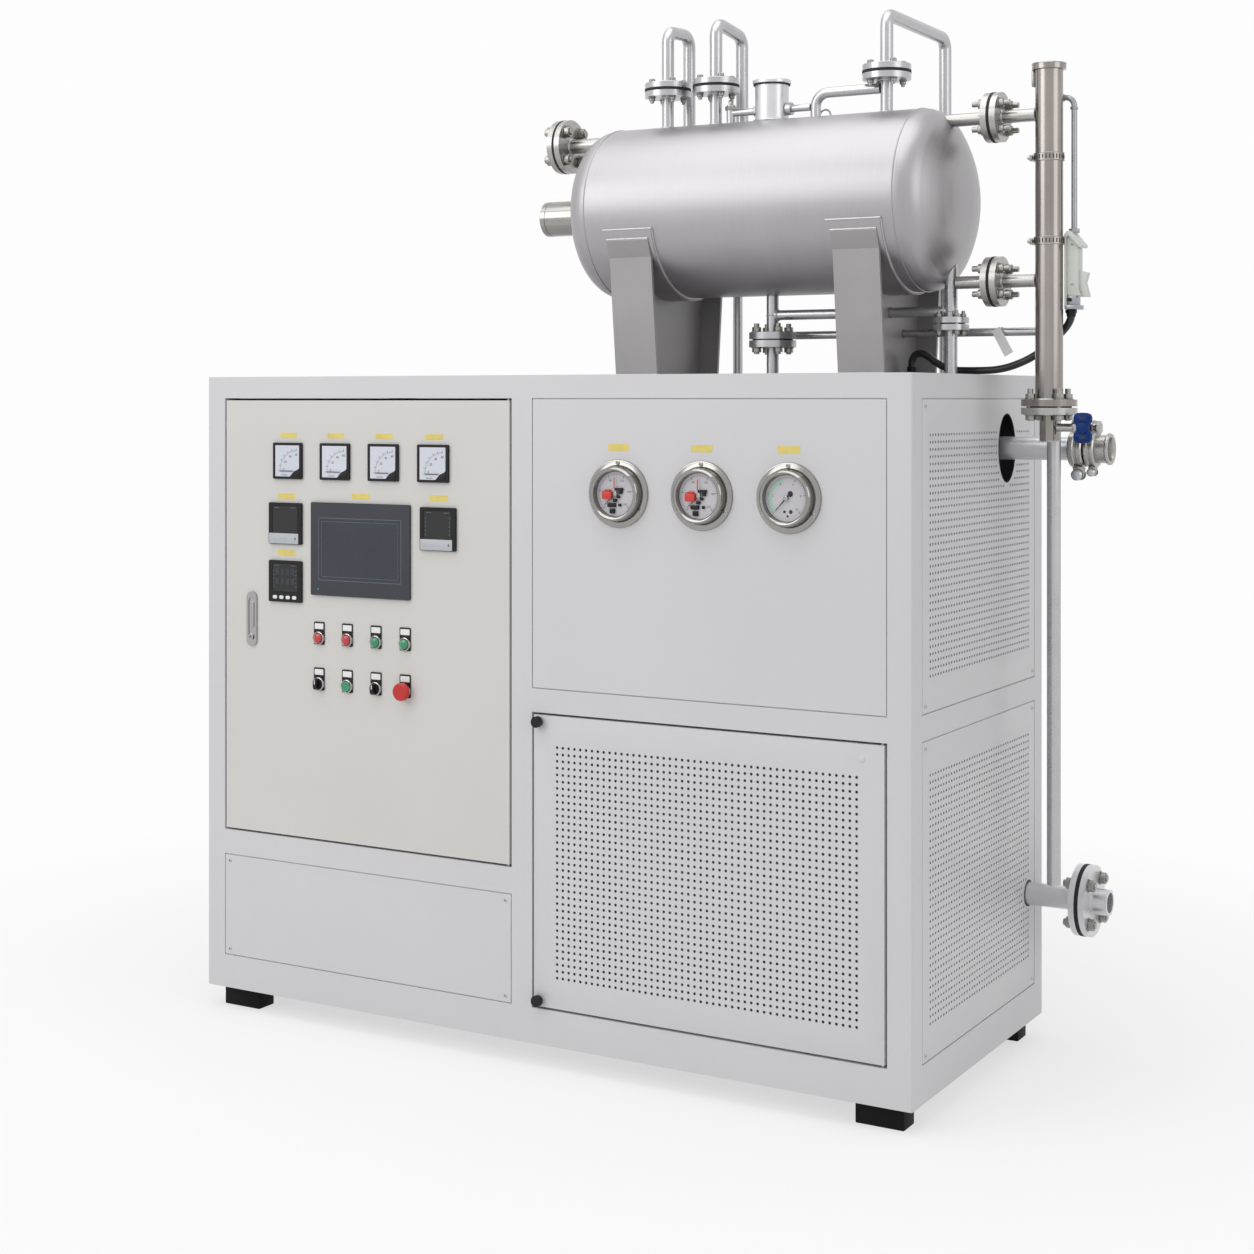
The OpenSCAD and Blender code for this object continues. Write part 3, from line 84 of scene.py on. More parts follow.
@dataclass(frozen=True)
class Finish:
    """One surface finish, made as a procedural material on object coordinates."""

    name: str
    colour: tuple[int, int, int]
    roughness: float = 0.5
    metallic: float = 0.0
    grain: Grain = Grain.MOULDED
    bump: float = 0.05
    bump_depth: float = 0.0002
    mottle: float = 0.03
    mottle_scale: float = 6.0
    rough_swing: float = 0.06
    coat: float = 0.0
    specular: float = 0.5

    def linear(self) -> tuple[float, float, float, float]:
        """Turns the written colour into a linear one.

        Returns:
            Red, green, blue and alpha.
        """
        parts = [c / 255 for c in self.colour]
        made = [p / 12.92 if p <= 0.04045 else ((p + 0.055) / 1.055) ** 2.4 for p in parts]
        return made[0], made[1], made[2], 1.0

    def material(self) -> bpy.types.Material:
        """Makes the material on first use.

        Returns:
            The material, the same one each time.
        """
        found = bpy.data.materials.get(self.name)
        if found:
            return found
        made = bpy.data.materials.new(self.name)
        made.use_nodes = True
        tree = made.node_tree
        shader = tree.nodes["Principled BSDF"]
        shader.inputs["Metallic"].default_value = self.metallic
        shader.inputs["Coat Weight"].default_value = self.coat
        shader.inputs["Specular IOR Level"].default_value = self.specular
        shader.inputs["Coat Roughness"].default_value = COAT_ROUGHNESS
        place = tree.nodes.new("ShaderNodeTexCoord").outputs["Object"]
        fine = self._noise(tree, place, self.grain.value, 1.0, GRAIN_OCTAVES)
        broad = self._noise(tree, place, (1.0, 1.0, 1.0), self.mottle_scale, MOTTLE_OCTAVES)
        self._colour(tree, shader, broad, fine)
        self._roughness(tree, shader, fine, broad)
        bump = tree.nodes.new("ShaderNodeBump")
        bump.inputs["Strength"].default_value = self.bump
        bump.inputs["Distance"].default_value = self.bump_depth
        tree.links.new(fine, bump.inputs["Height"])
        tree.links.new(bump.outputs["Normal"], shader.inputs["Normal"])
        return made

    @staticmethod
    def _noise(tree: bpy.types.NodeTree, place: bpy.types.NodeSocket, stretch: Point,
               scale: float, detail: float) -> bpy.types.NodeSocket:
        """Adds a noise stretched along the axes.

        Args:
            tree: Node tree of the material.
            place: Socket of the coordinates.
            stretch: Scale along X, Y and Z.
            scale: Scale of the noise itself.
            detail: Octaves of the noise.

        Returns:
            The noise's factor socket.
        """
        mapping = tree.nodes.new("ShaderNodeMapping")
        mapping.inputs["Scale"].default_value = stretch
        noise = tree.nodes.new("ShaderNodeTexNoise")
        noise.inputs["Scale"].default_value = scale
        noise.inputs["Detail"].default_value = detail
        tree.links.new(place, mapping.inputs["Vector"])
        tree.links.new(mapping.outputs["Vector"], noise.inputs["Vector"])
        return noise.outputs["Fac"]

    def _colour(self, tree: bpy.types.NodeTree, shader: bpy.types.Node,
                broad: bpy.types.NodeSocket, fine: bpy.types.NodeSocket) -> None:
        """Varies the base colour broadly and, on metal, along the grain.

        Args:
            tree: Node tree of the material.
            shader: The principled shader.
            broad: Slow noise.
            fine: Noise of the grain.
        """
        ramp = tree.nodes.new("ShaderNodeValToRGB")
        colour = self.linear()
        low = [c * (1 - 2 * self.mottle) for c in colour[:3]]
        high = [min(1.0, c * (1 + self.mottle)) for c in colour[:3]]
        for stop, position, tone in zip(ramp.color_ramp.elements, MOTTLE_ENDS, (low, high)):
            stop.position = position
            stop.color = (*tone, 1.0)
        if self.metallic > METAL_FROM:
            both = tree.nodes.new("ShaderNodeMath")
            both.operation = "MULTIPLY_ADD"
            both.inputs[1].default_value = GRAIN_SHARE
            tree.links.new(fine, both.inputs[0])
            part = tree.nodes.new("ShaderNodeMath")
            part.operation = "MULTIPLY"
            part.inputs[1].default_value = 1.0 - GRAIN_SHARE
            tree.links.new(broad, part.inputs[0])
            tree.links.new(part.outputs[0], both.inputs[2])
            tree.links.new(both.outputs[0], ramp.inputs["Fac"])
        else:
            tree.links.new(broad, ramp.inputs["Fac"])
        tree.links.new(ramp.outputs["Color"], shader.inputs["Base Color"])

    def _roughness(self, tree: bpy.types.NodeTree, shader: bpy.types.Node,
                   fine: bpy.types.NodeSocket, broad: bpy.types.NodeSocket) -> None:
        """Varies the roughness with the grain and with slow smears.

        Args:
            tree: Node tree of the material.
            shader: The principled shader.
            fine: Noise of the grain.
            broad: Slow noise.
        """
        mean = tree.nodes.new("ShaderNodeMath")
        mean.operation = "ADD"
        tree.links.new(fine, mean.inputs[0])
        tree.links.new(broad, mean.inputs[1])
        swing = tree.nodes.new("ShaderNodeMapRange")
        swing.inputs["From Min"].default_value = NOISE_SUM_ENDS[0]
        swing.inputs["From Max"].default_value = NOISE_SUM_ENDS[1]
        swing.inputs["To Min"].default_value = max(0.02, self.roughness - self.rough_swing)
        swing.inputs["To Max"].default_value = min(1.0, self.roughness + self.rough_swing)
        tree.links.new(mean.outputs[0], swing.inputs["Value"])
        tree.links.new(swing.outputs["Result"], shader.inputs["Roughness"])


CABINET = Finish("cabinet_powder_coat", (208, 207, 209), 0.42, grain=Grain.POWDER, bump=0.12,
                 bump_depth=0.0003, mottle=0.008, mottle_scale=2.5)
DOOR = Finish("door_powder_coat", (209, 207, 203), 0.42, grain=Grain.POWDER, bump=0.12,
              bump_depth=0.0003, mottle=0.01, mottle_scale=2.5)
FOOT = Finish("foot_black_paint", (13, 13, 13), 0.6, grain=Grain.CAST, bump=0.3,
              bump_depth=0.0004, mottle=0.15, mottle_scale=14, specular=0.15)
CASING = Finish("casing_aluminium_sheet", (120, 122, 124), 0.38, 0.9, Grain.BRUSHED_Z, 0.1,
                mottle=0.08)
ZINC = Finish("zinc_plated_sheet", (190, 194, 198), 0.34, 0.95, Grain.CAST, 0.1, mottle=0.07,
              mottle_scale=18)
TANK = Finish("tank_silver_paint", (171, 169, 171), 0.4, 0.86, Grain.HOOPS, 0.10,
              bump_depth=0.0002, mottle=0.06, mottle_scale=3.0, rough_swing=0.05)
SADDLE = Finish("saddle_silver_paint", (160, 158, 158), 0.5, 0.5, Grain.POWDER, 0.15,
                mottle=0.04, mottle_scale=7)
PIPE = Finish("pipe_silver_paint", (186, 186, 188), 0.3, 0.85, Grain.POWDER, 0.05,
              mottle=0.04, mottle_scale=22)
OIL_PIPE = Finish("oil_pipe_paint", (216, 216, 219), 0.34, 0.75, Grain.POWDER, 0.1,
                  mottle=0.04, mottle_scale=22)
WELD = Finish("weld_bead", (205, 206, 208), 0.42, 0.7, Grain.CAST, 0.8, bump_depth=0.0008,
              mottle=0.1, mottle_scale=160)
FLANGE = Finish("flange_turned_steel", (176, 174, 171), 0.3, 0.95, Grain.CAST, 0.06,
                mottle=0.05, mottle_scale=30)
BOLT = Finish("bolt_zinc_plate", (156, 155, 150), 0.3, 0.95, Grain.CAST, 0.1, mottle=0.08,
              mottle_scale=90)
COLUMN = Finish("column_brushed_stainless", (156, 150, 146), 0.22, 1.0, Grain.DRAWN_Z, 0.12,
                bump_depth=0.0001, mottle=0.13, mottle_scale=5)
CHROME = Finish("chrome_polish", (170, 169, 168), 0.13, 1.0, Grain.SMOOTH, 0.02, mottle=0.02,
                rough_swing=0.03)
RING = Finish("gauge_ring_steel", (154, 152, 149), 0.13, 1.0, Grain.SMOOTH, 0.02, mottle=0.05,
              rough_swing=0.04)
GASKET = Finish("gasket_graphite", (22, 22, 23), 0.75, grain=Grain.CAST, bump=0.4, mottle=0.2,
                mottle_scale=60)
BLACK = Finish("black_moulding", (19, 19, 22), 0.42, grain=Grain.MOULDED, bump=0.12,
               mottle=0.1, mottle_scale=30, specular=0.3)
SCREEN = Finish("screen_glass", (17, 18, 21), 0.25, grain=Grain.SMOOTH, bump=0.01,
                mottle=0.05, coat=0.1)
PANEL_GREY = Finish("touch_panel_shell", (46, 49, 57), 0.38, grain=Grain.MOULDED, bump=0.1,
                    mottle=0.04, mottle_scale=20)
PANEL_LINE = Finish("touch_panel_line", (96, 100, 110), 0.35, grain=Grain.MOULDED, bump=0.05)
PANEL_DARK = Finish("touch_panel_window", (38, 43, 56), 0.3, grain=Grain.SMOOTH, bump=0.02,
                    mottle=0.06, coat=0.15)
STRIP_GREY = Finish("controller_light_strip", (182, 185, 190), 0.4, grain=Grain.MOULDED)
DIAL = Finish("dial_white_print", (206, 209, 219), 0.5, grain=Grain.SMOOTH, bump=0.02,
              mottle=0.02, coat=0.8)
GAUGE_DIAL = Finish("gauge_dial_print", (200, 198, 203), 0.5, grain=Grain.SMOOTH, bump=0.02,
                    mottle=0.03, coat=0.9)
# Painted shade: a dark colour for the shade inside the column clamps' band slots and in the gaps round
# the gauge bezels.
PAINTED_SLOT_SHADE = Finish("band_slot_shadow", (74, 70, 68), 0.5, 0.6, grain=Grain.SMOOTH, bump=0.02)
INK = Finish("dial_black_print", (24, 26, 30), 0.6, grain=Grain.SMOOTH, bump=0.02, coat=0.5)
GREEN_BAND = Finish("dial_green_band", (168, 206, 186), 0.55, grain=Grain.SMOOTH, bump=0.02,
                    coat=0.5)
RED_PART = Finish("contact_red_moulding", (206, 58, 48), 0.4, grain=Grain.MOULDED, bump=0.05)
RED_LENS = Finish("lens_red", (186, 24, 28), 0.14, grain=Grain.SMOOTH, bump=0.02, mottle=0.12,
                  mottle_scale=60, coat=0.8)
GREEN_LENS = Finish("lens_green", (22, 140, 92), 0.14, grain=Grain.SMOOTH, bump=0.02,
                    mottle=0.12, mottle_scale=60, coat=0.8)
STOP_RED = Finish("mushroom_red", (190, 34, 28), 0.34, grain=Grain.MOULDED, bump=0.04,
                  mottle=0.04, coat=0.1)
WHITE = Finish("white_moulding", (226, 228, 228), 0.4, grain=Grain.MOULDED, bump=0.08,
               mottle=0.02, mottle_scale=12)
LABEL = Finish("blank_label", (232, 232, 230), 0.5, grain=Grain.MOULDED, bump=0.04)
STICKER = Finish("yellow_sticker", (222, 204, 112), 0.45, grain=Grain.MOULDED, bump=0.06,
                 mottle=0.05, mottle_scale=40)
BLUE = Finish("blue_grip_coat", (12, 50, 112), 0.38, grain=Grain.MOULDED, bump=0.15,
              mottle=0.08, mottle_scale=60, specular=0.2)
JACKET = Finish("cable_jacket", (34, 34, 37), 0.38, grain=Grain.CAST, bump=0.15, mottle=0.1,
                mottle_scale=30)
SOCKET = Finish("socket_polished_steel", (160, 158, 154), 0.17, 1.0, Grain.BRUSHED_Y, 0.1,
                mottle=0.05, mottle_scale=20)
CONDUIT = Finish("conduit_grey_steel", (160, 163, 168), 0.35, 0.8, Grain.POWDER, 0.1,
                 mottle=0.05, mottle_scale=30)
BOX_WHITE = Finish("switch_box_moulding", (206, 208, 202), 0.45, grain=Grain.MOULDED, bump=0.1,
                   mottle=0.03, mottle_scale=30)
TAPE = Finish("white_tape_tag", (236, 237, 238), 0.5, grain=Grain.MOULDED, bump=0.1)

NODE_FINISHES: dict[str, Finish] = {
    **dict.fromkeys(["corner_posts", "middle_posts", "top_rails", "base_rails", "mid_rails",
                     "top_plate", "floor_plate", "bay_partition", "left_panels", "rear_panels",
                     "low_panel", "gauge_panel", "side_panel_upper", "side_panel_lower",
                     "vent_door"], CABINET),
    "control_door": DOOR, "feet": FOOT, "heater_casing": CASING, "mounting_plate": ZINC,
    "hinge_pins": BOLT, "door_lock": CHROME, "ammeters": BLACK, "controllers": BLACK,
    "touch_panel": PANEL_GREY, "push_buttons": RED_LENS, "button_plates": BLACK,
    "selector_left": BLACK, "selector_right": BLACK, "stop_button": STOP_RED,
    "vent_knobs": BLACK, "gauge_cases": CHROME, "gauge_dials": GAUGE_DIAL,
    "tank_shell": TANK, "tank_head_left": TANK, "tank_head_right": TANK,
    "saddle_left": SADDLE, "saddle_right": SADDLE, "filler_neck": OIL_PIPE, "filler_lid": PIPE,
    "tank_nozzles": PIPE, "vent_loop_left": PIPE, "vent_loop_middle": PIPE,
    "vent_loop_right": PIPE, "head_nozzle": FLANGE, "head_socket": SOCKET,
    "bypass_pipe": PIPE, "expansion_line": PIPE, "overflow_pipe": PIPE, "gaskets": GASKET,
    "level_column": COLUMN, "column_arms": FLANGE, "column_drain": FLANGE,
    "drain_valve": FLANGE, "valve_handle": BLUE, "level_switch": BOX_WHITE,
    "outlet_pipe": OIL_PIPE, "outlet_coupling": FLANGE, "return_pipe": OIL_PIPE,
    "cable_gland": BLACK, "signal_cable": JACKET,
}


# Mesh builders, in millimetres

BEVEL_ANGLE = 0.6
SHARP_ANGLE = math.radians(32)
BEND_STEP = 0.2


def aim(place: Point | Vector, way: Point | Vector) -> Matrix:
    """Works out the matrix that puts +Z of a mesh along a direction, turned as the CAD's is.

    Args:
        place: Where the origin goes.
        way: Direction of +Z.

    Returns:
        The matrix.
    """
    z = Vector(way).normalized()
    x = Vector((0, 1, 0) if abs(z.z) > 0.9 else (0, 0, 1)).cross(z).normalized()
    made = Matrix((x, z.cross(x), z)).transposed().to_4x4()
    made.translation = Vector(place)
    return made


def block(size: Point) -> bmesh.types.BMesh:
    """Makes a centred block.

    Args:
        size: Its size along X, Y and Z.

    Returns:
        The block's mesh.
    """
    made = bmesh.new()
    bmesh.ops.create_cube(made, size=1.0, matrix=Matrix.Diagonal((*size, 1.0)))
    return made


def slab(low: Point, high: Point) -> bmesh.types.BMesh:
    """Makes a block between two opposite corners.

    Args:
        low: The corner with the lower values.
        high: The corner with the higher values.

    Returns:
        The block's mesh.
    """
    size = [b - a for a, b in zip(low, high)]
    made = block((size[0], size[1], size[2]))
    bmesh.ops.translate(made, verts=made.verts[:], vec=(Vector(low) + Vector(high)) / 2)
    return made


def bar(radius: float, height: float, sides: int = 28,
        top: float | None = None) -> bmesh.types.BMesh:
    """Makes a round, tapered or many-sided bar that stands on the XY plane.

    Args:
        radius: Radius at the foot.
        height: Height along Z.
        sides: Number of sides.
        top: Radius at the top, the same as the foot's if left out.

    Returns:
        The bar's mesh.
    """
    made = bmesh.new()
    bmesh.ops.create_cone(made, cap_ends=True, cap_tris=False, segments=sides, radius1=radius,
                          radius2=radius if top is None else top, depth=height,
                          matrix=Matrix.Translation((0, 0, height / 2)))
    return made


def lathe(profile: list[Pair], steps: int = 40, closed: bool = False,
          turn: float = math.tau) -> bmesh.types.BMesh:
    """Spins a profile of radius and height round Z.

    Args:
        profile: Points of radius and height.
        steps: Steps of the spin.
        closed: Whether the profile's last point joins its first.
        turn: Angle of the spin.

    Returns:
        The spun mesh.
    """
    made = bmesh.new()
    row = [made.verts.new((r, 0.0, h)) for r, h in profile]
    for a, b in zip(row, row[1:]):
        made.edges.new((a, b))
    if closed:
        made.edges.new((row[-1], row[0]))
    whole = turn >= math.tau - 1e-6
    bmesh.ops.spin(made, geom=made.verts[:] + made.edges[:], cent=(0, 0, 0), axis=(0, 0, 1),
                   dvec=(0, 0, 0), angle=turn, steps=steps, use_merge=whole, use_duplicate=False)
    bmesh.ops.remove_doubles(made, verts=made.verts[:], dist=1e-4)
    if not whole and closed:
        bmesh.ops.holes_fill(made, edges=made.edges[:], sides=0)
    bmesh.ops.recalc_face_normals(made, faces=made.faces[:])
    return made


def hoop(radius: float, wire: float, steps: int = 40, sides: int = 8,
         turn: float = math.tau) -> bmesh.types.BMesh:
    """Bends a round wire to a ring or an arc round Z.

    Args:
        radius: Radius of the ring's centre line.
        wire: Radius of the wire.
        steps: Steps round the ring.
        sides: Sides of the wire.
        turn: Angle of the arc.

    Returns:
        The wire's mesh.
    """
    ring = [(radius + wire * math.cos(math.tau * i / sides), wire * math.sin(math.tau * i / sides))
            for i in range(sides)]
    return lathe(ring, steps, True, turn)


def plate(outline: list[Pair], thick: float) -> bmesh.types.BMesh:
    """Makes a flat plate of an outline in XY, extruded along Z.

    Args:
        outline: Corners of the plate, in order round it.
        thick: Thickness along Z.

    Returns:
        The plate's mesh.
    """
    made = bmesh.new()
    face = made.faces.new([made.verts.new((x, y, 0.0)) for x, y in outline])
    grown = bmesh.ops.extrude_face_region(made, geom=[face])
    bmesh.ops.translate(made, vec=(0, 0, thick),
                        verts=[g for g in grown["geom"] if isinstance(g, bmesh.types.BMVert)])
    bmesh.ops.recalc_face_normals(made, faces=made.faces[:])
    return made


def round_rect(wide: float, high: float, radius: float, steps: int = 5) -> list[Pair]:
    """Works out the outline of a centred rectangle with round corners.

    Args:
        wide: Width along X.
        high: Height along Y.
        radius: Radius of the corners.
        steps: Points a corner takes, less one.

    Returns:
        The points of the outline.
    """
    made = []
    for i, (sx, sy) in enumerate([(1, 1), (-1, 1), (-1, -1), (1, -1)]):
        for k in range(steps + 1):
            a = math.pi / 2 * (i + k / steps)
            made.append((sx * (wide / 2 - radius) + radius * math.cos(a),
                         sy * (high / 2 - radius) + radius * math.sin(a)))
    return made


def sweep(points: list[Point], radius: float, bend: float, sides: int = 20) -> bmesh.types.BMesh:
    """Makes a capped round pipe along the points, with a swept bend at each inner one.

    Args:
        points: Corners of the pipe's centre line.
        radius: Radius of the pipe.
        bend: Centre-line radius of the bends.
        sides: Sides of the pipe.

    Returns:
        The pipe's mesh.
    """
    made = bmesh.new()
    line = [Vector(p) for p in points]
    way = (line[1] - line[0]).normalized()
    bmesh.ops.create_circle(made, cap_ends=True, segments=sides, radius=radius,
                            matrix=aim(line[0], way))
    loop, start = made.edges[:], line[0]
    for i in range(1, len(line)):
        way = (line[i] - line[i - 1]).normalized()
        last = i == len(line) - 1
        after = way if last else (line[i + 1] - line[i]).normalized()
        angle = way.angle(after, 0.0)
        cut = bend * math.tan(angle / 2)
        end = line[i] - way * cut
        grown = bmesh.ops.extrude_edge_only(made, edges=loop)["geom"]
        tips = [g for g in grown if isinstance(g, bmesh.types.BMVert)]
        held = set(tips)
        loop = [g for g in grown if isinstance(g, bmesh.types.BMEdge) and held.issuperset(g.verts)]
        bmesh.ops.translate(made, verts=tips, vec=end - start)
        if last:
            break
        side = (after - way * after.dot(way)).normalized()
        spun = bmesh.ops.spin(made, geom=loop + tips, cent=end + side * bend, axis=way.cross(after),
                              dvec=(0, 0, 0), angle=angle, steps=max(3, round(angle / BEND_STEP)),
                              use_merge=False, use_duplicate=False)
        loop = [g for g in spun["geom_last"] if isinstance(g, bmesh.types.BMEdge)]
        start = line[i] + after * cut
    bmesh.ops.edgeloop_fill(made, edges=loop)
    bmesh.ops.recalc_face_normals(made, faces=made.faces[:])
    return made


@dataclass
class Piece:
    """One finished mesh piece, gathered from small meshes and put on a body."""

    name: str
    body: str
    slot: str = ""
    finishes: list[Finish] = field(default_factory=list)

    def __post_init__(self) -> None:
        """Starts the piece's empty mesh."""
        self.mesh = bpy.data.meshes.new(self.name)
        self.whole = bmesh.new()

    def add(self, part: bmesh.types.BMesh, finish: Finish, place: Matrix | None = None,
            soft: float = 0.0, rounds: int = 2) -> None:
        """Joins a small mesh to the piece and frees it.

        Args:
            part: The small mesh.
            finish: Its finish.
            place: Matrix that puts it in place, in millimetres.
            soft: Width of the bevel on its sharp edges.
            rounds: Segments of that bevel.
        """
        if soft:
            sharp = [e for e in part.edges
                     if len(e.link_faces) == 2 and e.calc_face_angle(0.0) > BEVEL_ANGLE]
            bmesh.ops.bevel(part, geom=sharp, offset=soft, segments=rounds, profile=0.5,
                            affect="EDGES", material=-1)
        if place is not None:
            bmesh.ops.transform(part, matrix=place, verts=part.verts[:])
            if place.determinant() < 0:
                bmesh.ops.reverse_faces(part, faces=part.faces[:])
        if finish not in self.finishes:
            self.finishes.append(finish)
        index = self.finishes.index(finish)
        for face in part.faces:
            face.material_index = index
            face.smooth = True
        part.to_mesh(self.mesh)
        self.whole.from_mesh(self.mesh)
        part.free()

    def text(self, words: str, size: float, finish: Finish, place: Matrix) -> None:
        """Adds plain dial numbers as thin raised print.

        Args:
            words: The digits.
            size: Height of the figures in millimetres.
            finish: Finish of the print.
            place: Matrix of the text's middle, +Z out of the dial.
        """
        curve = bpy.data.curves.new(self.name + "_print", "FONT")
        curve.body, curve.size = words, size
        curve.align_x, curve.align_y = "CENTER", "CENTER"
        curve.extrude, curve.resolution_u = 0.05, 2
        carrier = bpy.data.objects.new(self.name + "_print", curve)
        bpy.context.scene.collection.objects.link(carrier)
        bpy.context.view_layer.update()
        shown = carrier.evaluated_get(bpy.context.evaluated_depsgraph_get())
        flat = bpy.data.meshes.new_from_object(shown)
        part = bmesh.new()
        part.from_mesh(flat)
        bpy.data.objects.remove(carrier)
        bpy.data.curves.remove(curve)
        bpy.data.meshes.remove(flat)
        self.add(part, finish, place)

    def finish(self, *replaced: str) -> bpy.types.Object:
        """Makes the object and puts it on its body.

        Args:
            *replaced: CAD nodes that the piece stands for.

        Returns:
            The finished object.
        """
        bmesh.ops.scale(self.whole, vec=(MM, MM, MM), verts=self.whole.verts[:])
        self.whole.to_mesh(self.mesh)
        self.whole.free()
        self.mesh.set_sharp_from_angle(angle=SHARP_ANGLE)
        for finish in self.finishes:
            self.mesh.materials.append(finish.material())
        made = bpy.data.objects.new(self.name, self.mesh)
        bpy.context.scene.collection.objects.link(made)
        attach(made, self.body)
        if replaced:
            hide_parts(*replaced)
        LOG.info("%s: %d faces on %s", self.name, len(self.mesh.polygons), self.body)
        return made


# Fasteners and welds

@dataclass
class Fastener:
    """Hexagon studs and nuts of one size, with sizes as shares of the thread."""

    thread: float = 12.0
    washer: float = 2.0
    corner_share: float = 0.88
    height_share: float = 0.8
    finish: Finish = BOLT

    def nut(self, piece: Piece, place: Vector, way: Vector) -> None:
        """Adds a chamfered nut on its washer, standing from a place along a direction.

        Args:
            piece: Piece that it joins.
            place: Foot of the washer.
            way: Direction away from the seat.
        """
        piece.add(bar(self.thread, self.washer, 20), self.finish, aim(place, way), 0.4, 1)
        hexagon = bar(self.thread * self.corner_share, self.thread * self.height_share, 6)
        piece.add(hexagon, self.finish, aim(place + way * self.washer, way), 0.9, 1)

    def through(self, piece: Piece, place: Vector, way: Vector, grip: float,
                tails: Pair = (3.0, 9.0)) -> None:
        """Adds a stud through a flange pair with a nut at each end.

        Args:
            piece: Piece that it joins.
            place: Where the stud enters the first outer face.
            way: Direction through the pair.
            grip: Distance between the outer faces.
            tails: Length of thread past the nut at the two ends.
        """
        seat = self.washer + self.thread * self.height_share
        start = place - way * (seat + tails[0])
        piece.add(bar(self.thread / 2, grip + 2 * seat + sum(tails), 14), self.finish,
                  aim(start, way), 0.6, 1)
        self.nut(piece, place, -way)
        self.nut(piece, place + way * grip, way)

    def circle(self, piece: Piece, centre: Point, way: Point, pcd: float, grip: float,
               tails: Pair = (3.0, 9.0), count: int = 4) -> None:
        """Adds the studs of one flange pair, turned as the CAD's bolt holes are.

        Args:
            piece: Piece that they join.
            centre: Centre of the first outer face.
            way: Direction through the pair.
            pcd: Bolt circle.
            grip: Distance between the outer faces.
            tails: Thread past the nuts at the two ends.
            count: Number of studs.
        """
        turned = aim(centre, way)
        axis = Vector(way).normalized()
        for i in range(count):
            a = math.tau / count * (i + 0.5)
            spot = turned @ Vector((pcd / 2 * math.cos(a), pcd / 2 * math.sin(a), 0))
            self.through(piece, spot, axis, grip, tails)


def pan_screw(piece: Piece, place: Point, way: Point, radius: float = 4.4) -> None:
    """Adds a pan-head screw with a cross recess.

    Args:
        piece: Piece that it joins.
        place: Centre of the head's foot.
        way: Direction out of the surface.
        radius: Radius of the head.
    """
    turned = aim(place, way)
    dome = [(radius, 0.0), (radius, 0.9), (radius * 0.86, 1.7), (radius * 0.5, 2.2), (0.0, 2.35)]
    piece.add(lathe(dome, 18), ZINC, turned)
    for a in (0.0, math.pi / 2):
        piece.add(block((radius * 1.1, 0.9, 0.5)), INK,
                  turned @ Matrix.Translation((0, 0, 2.2)) @ Matrix.Rotation(a + 0.4, 4, "Z"))


def collar_weld(piece: Piece, place: Point, way: Point, radius: float, bead: float = 2.0) -> None:
    """Adds a weld bead round a pipe.

    Args:
        piece: Piece that it joins.
        place: Centre of the ring.
        way: The pipe's direction.
        radius: Radius of the pipe.
        bead: Radius of the bead.
    """
    piece.add(hoop(radius + bead * 0.25, bead, 36, 8), WELD, aim(place, way))


# Cabinet

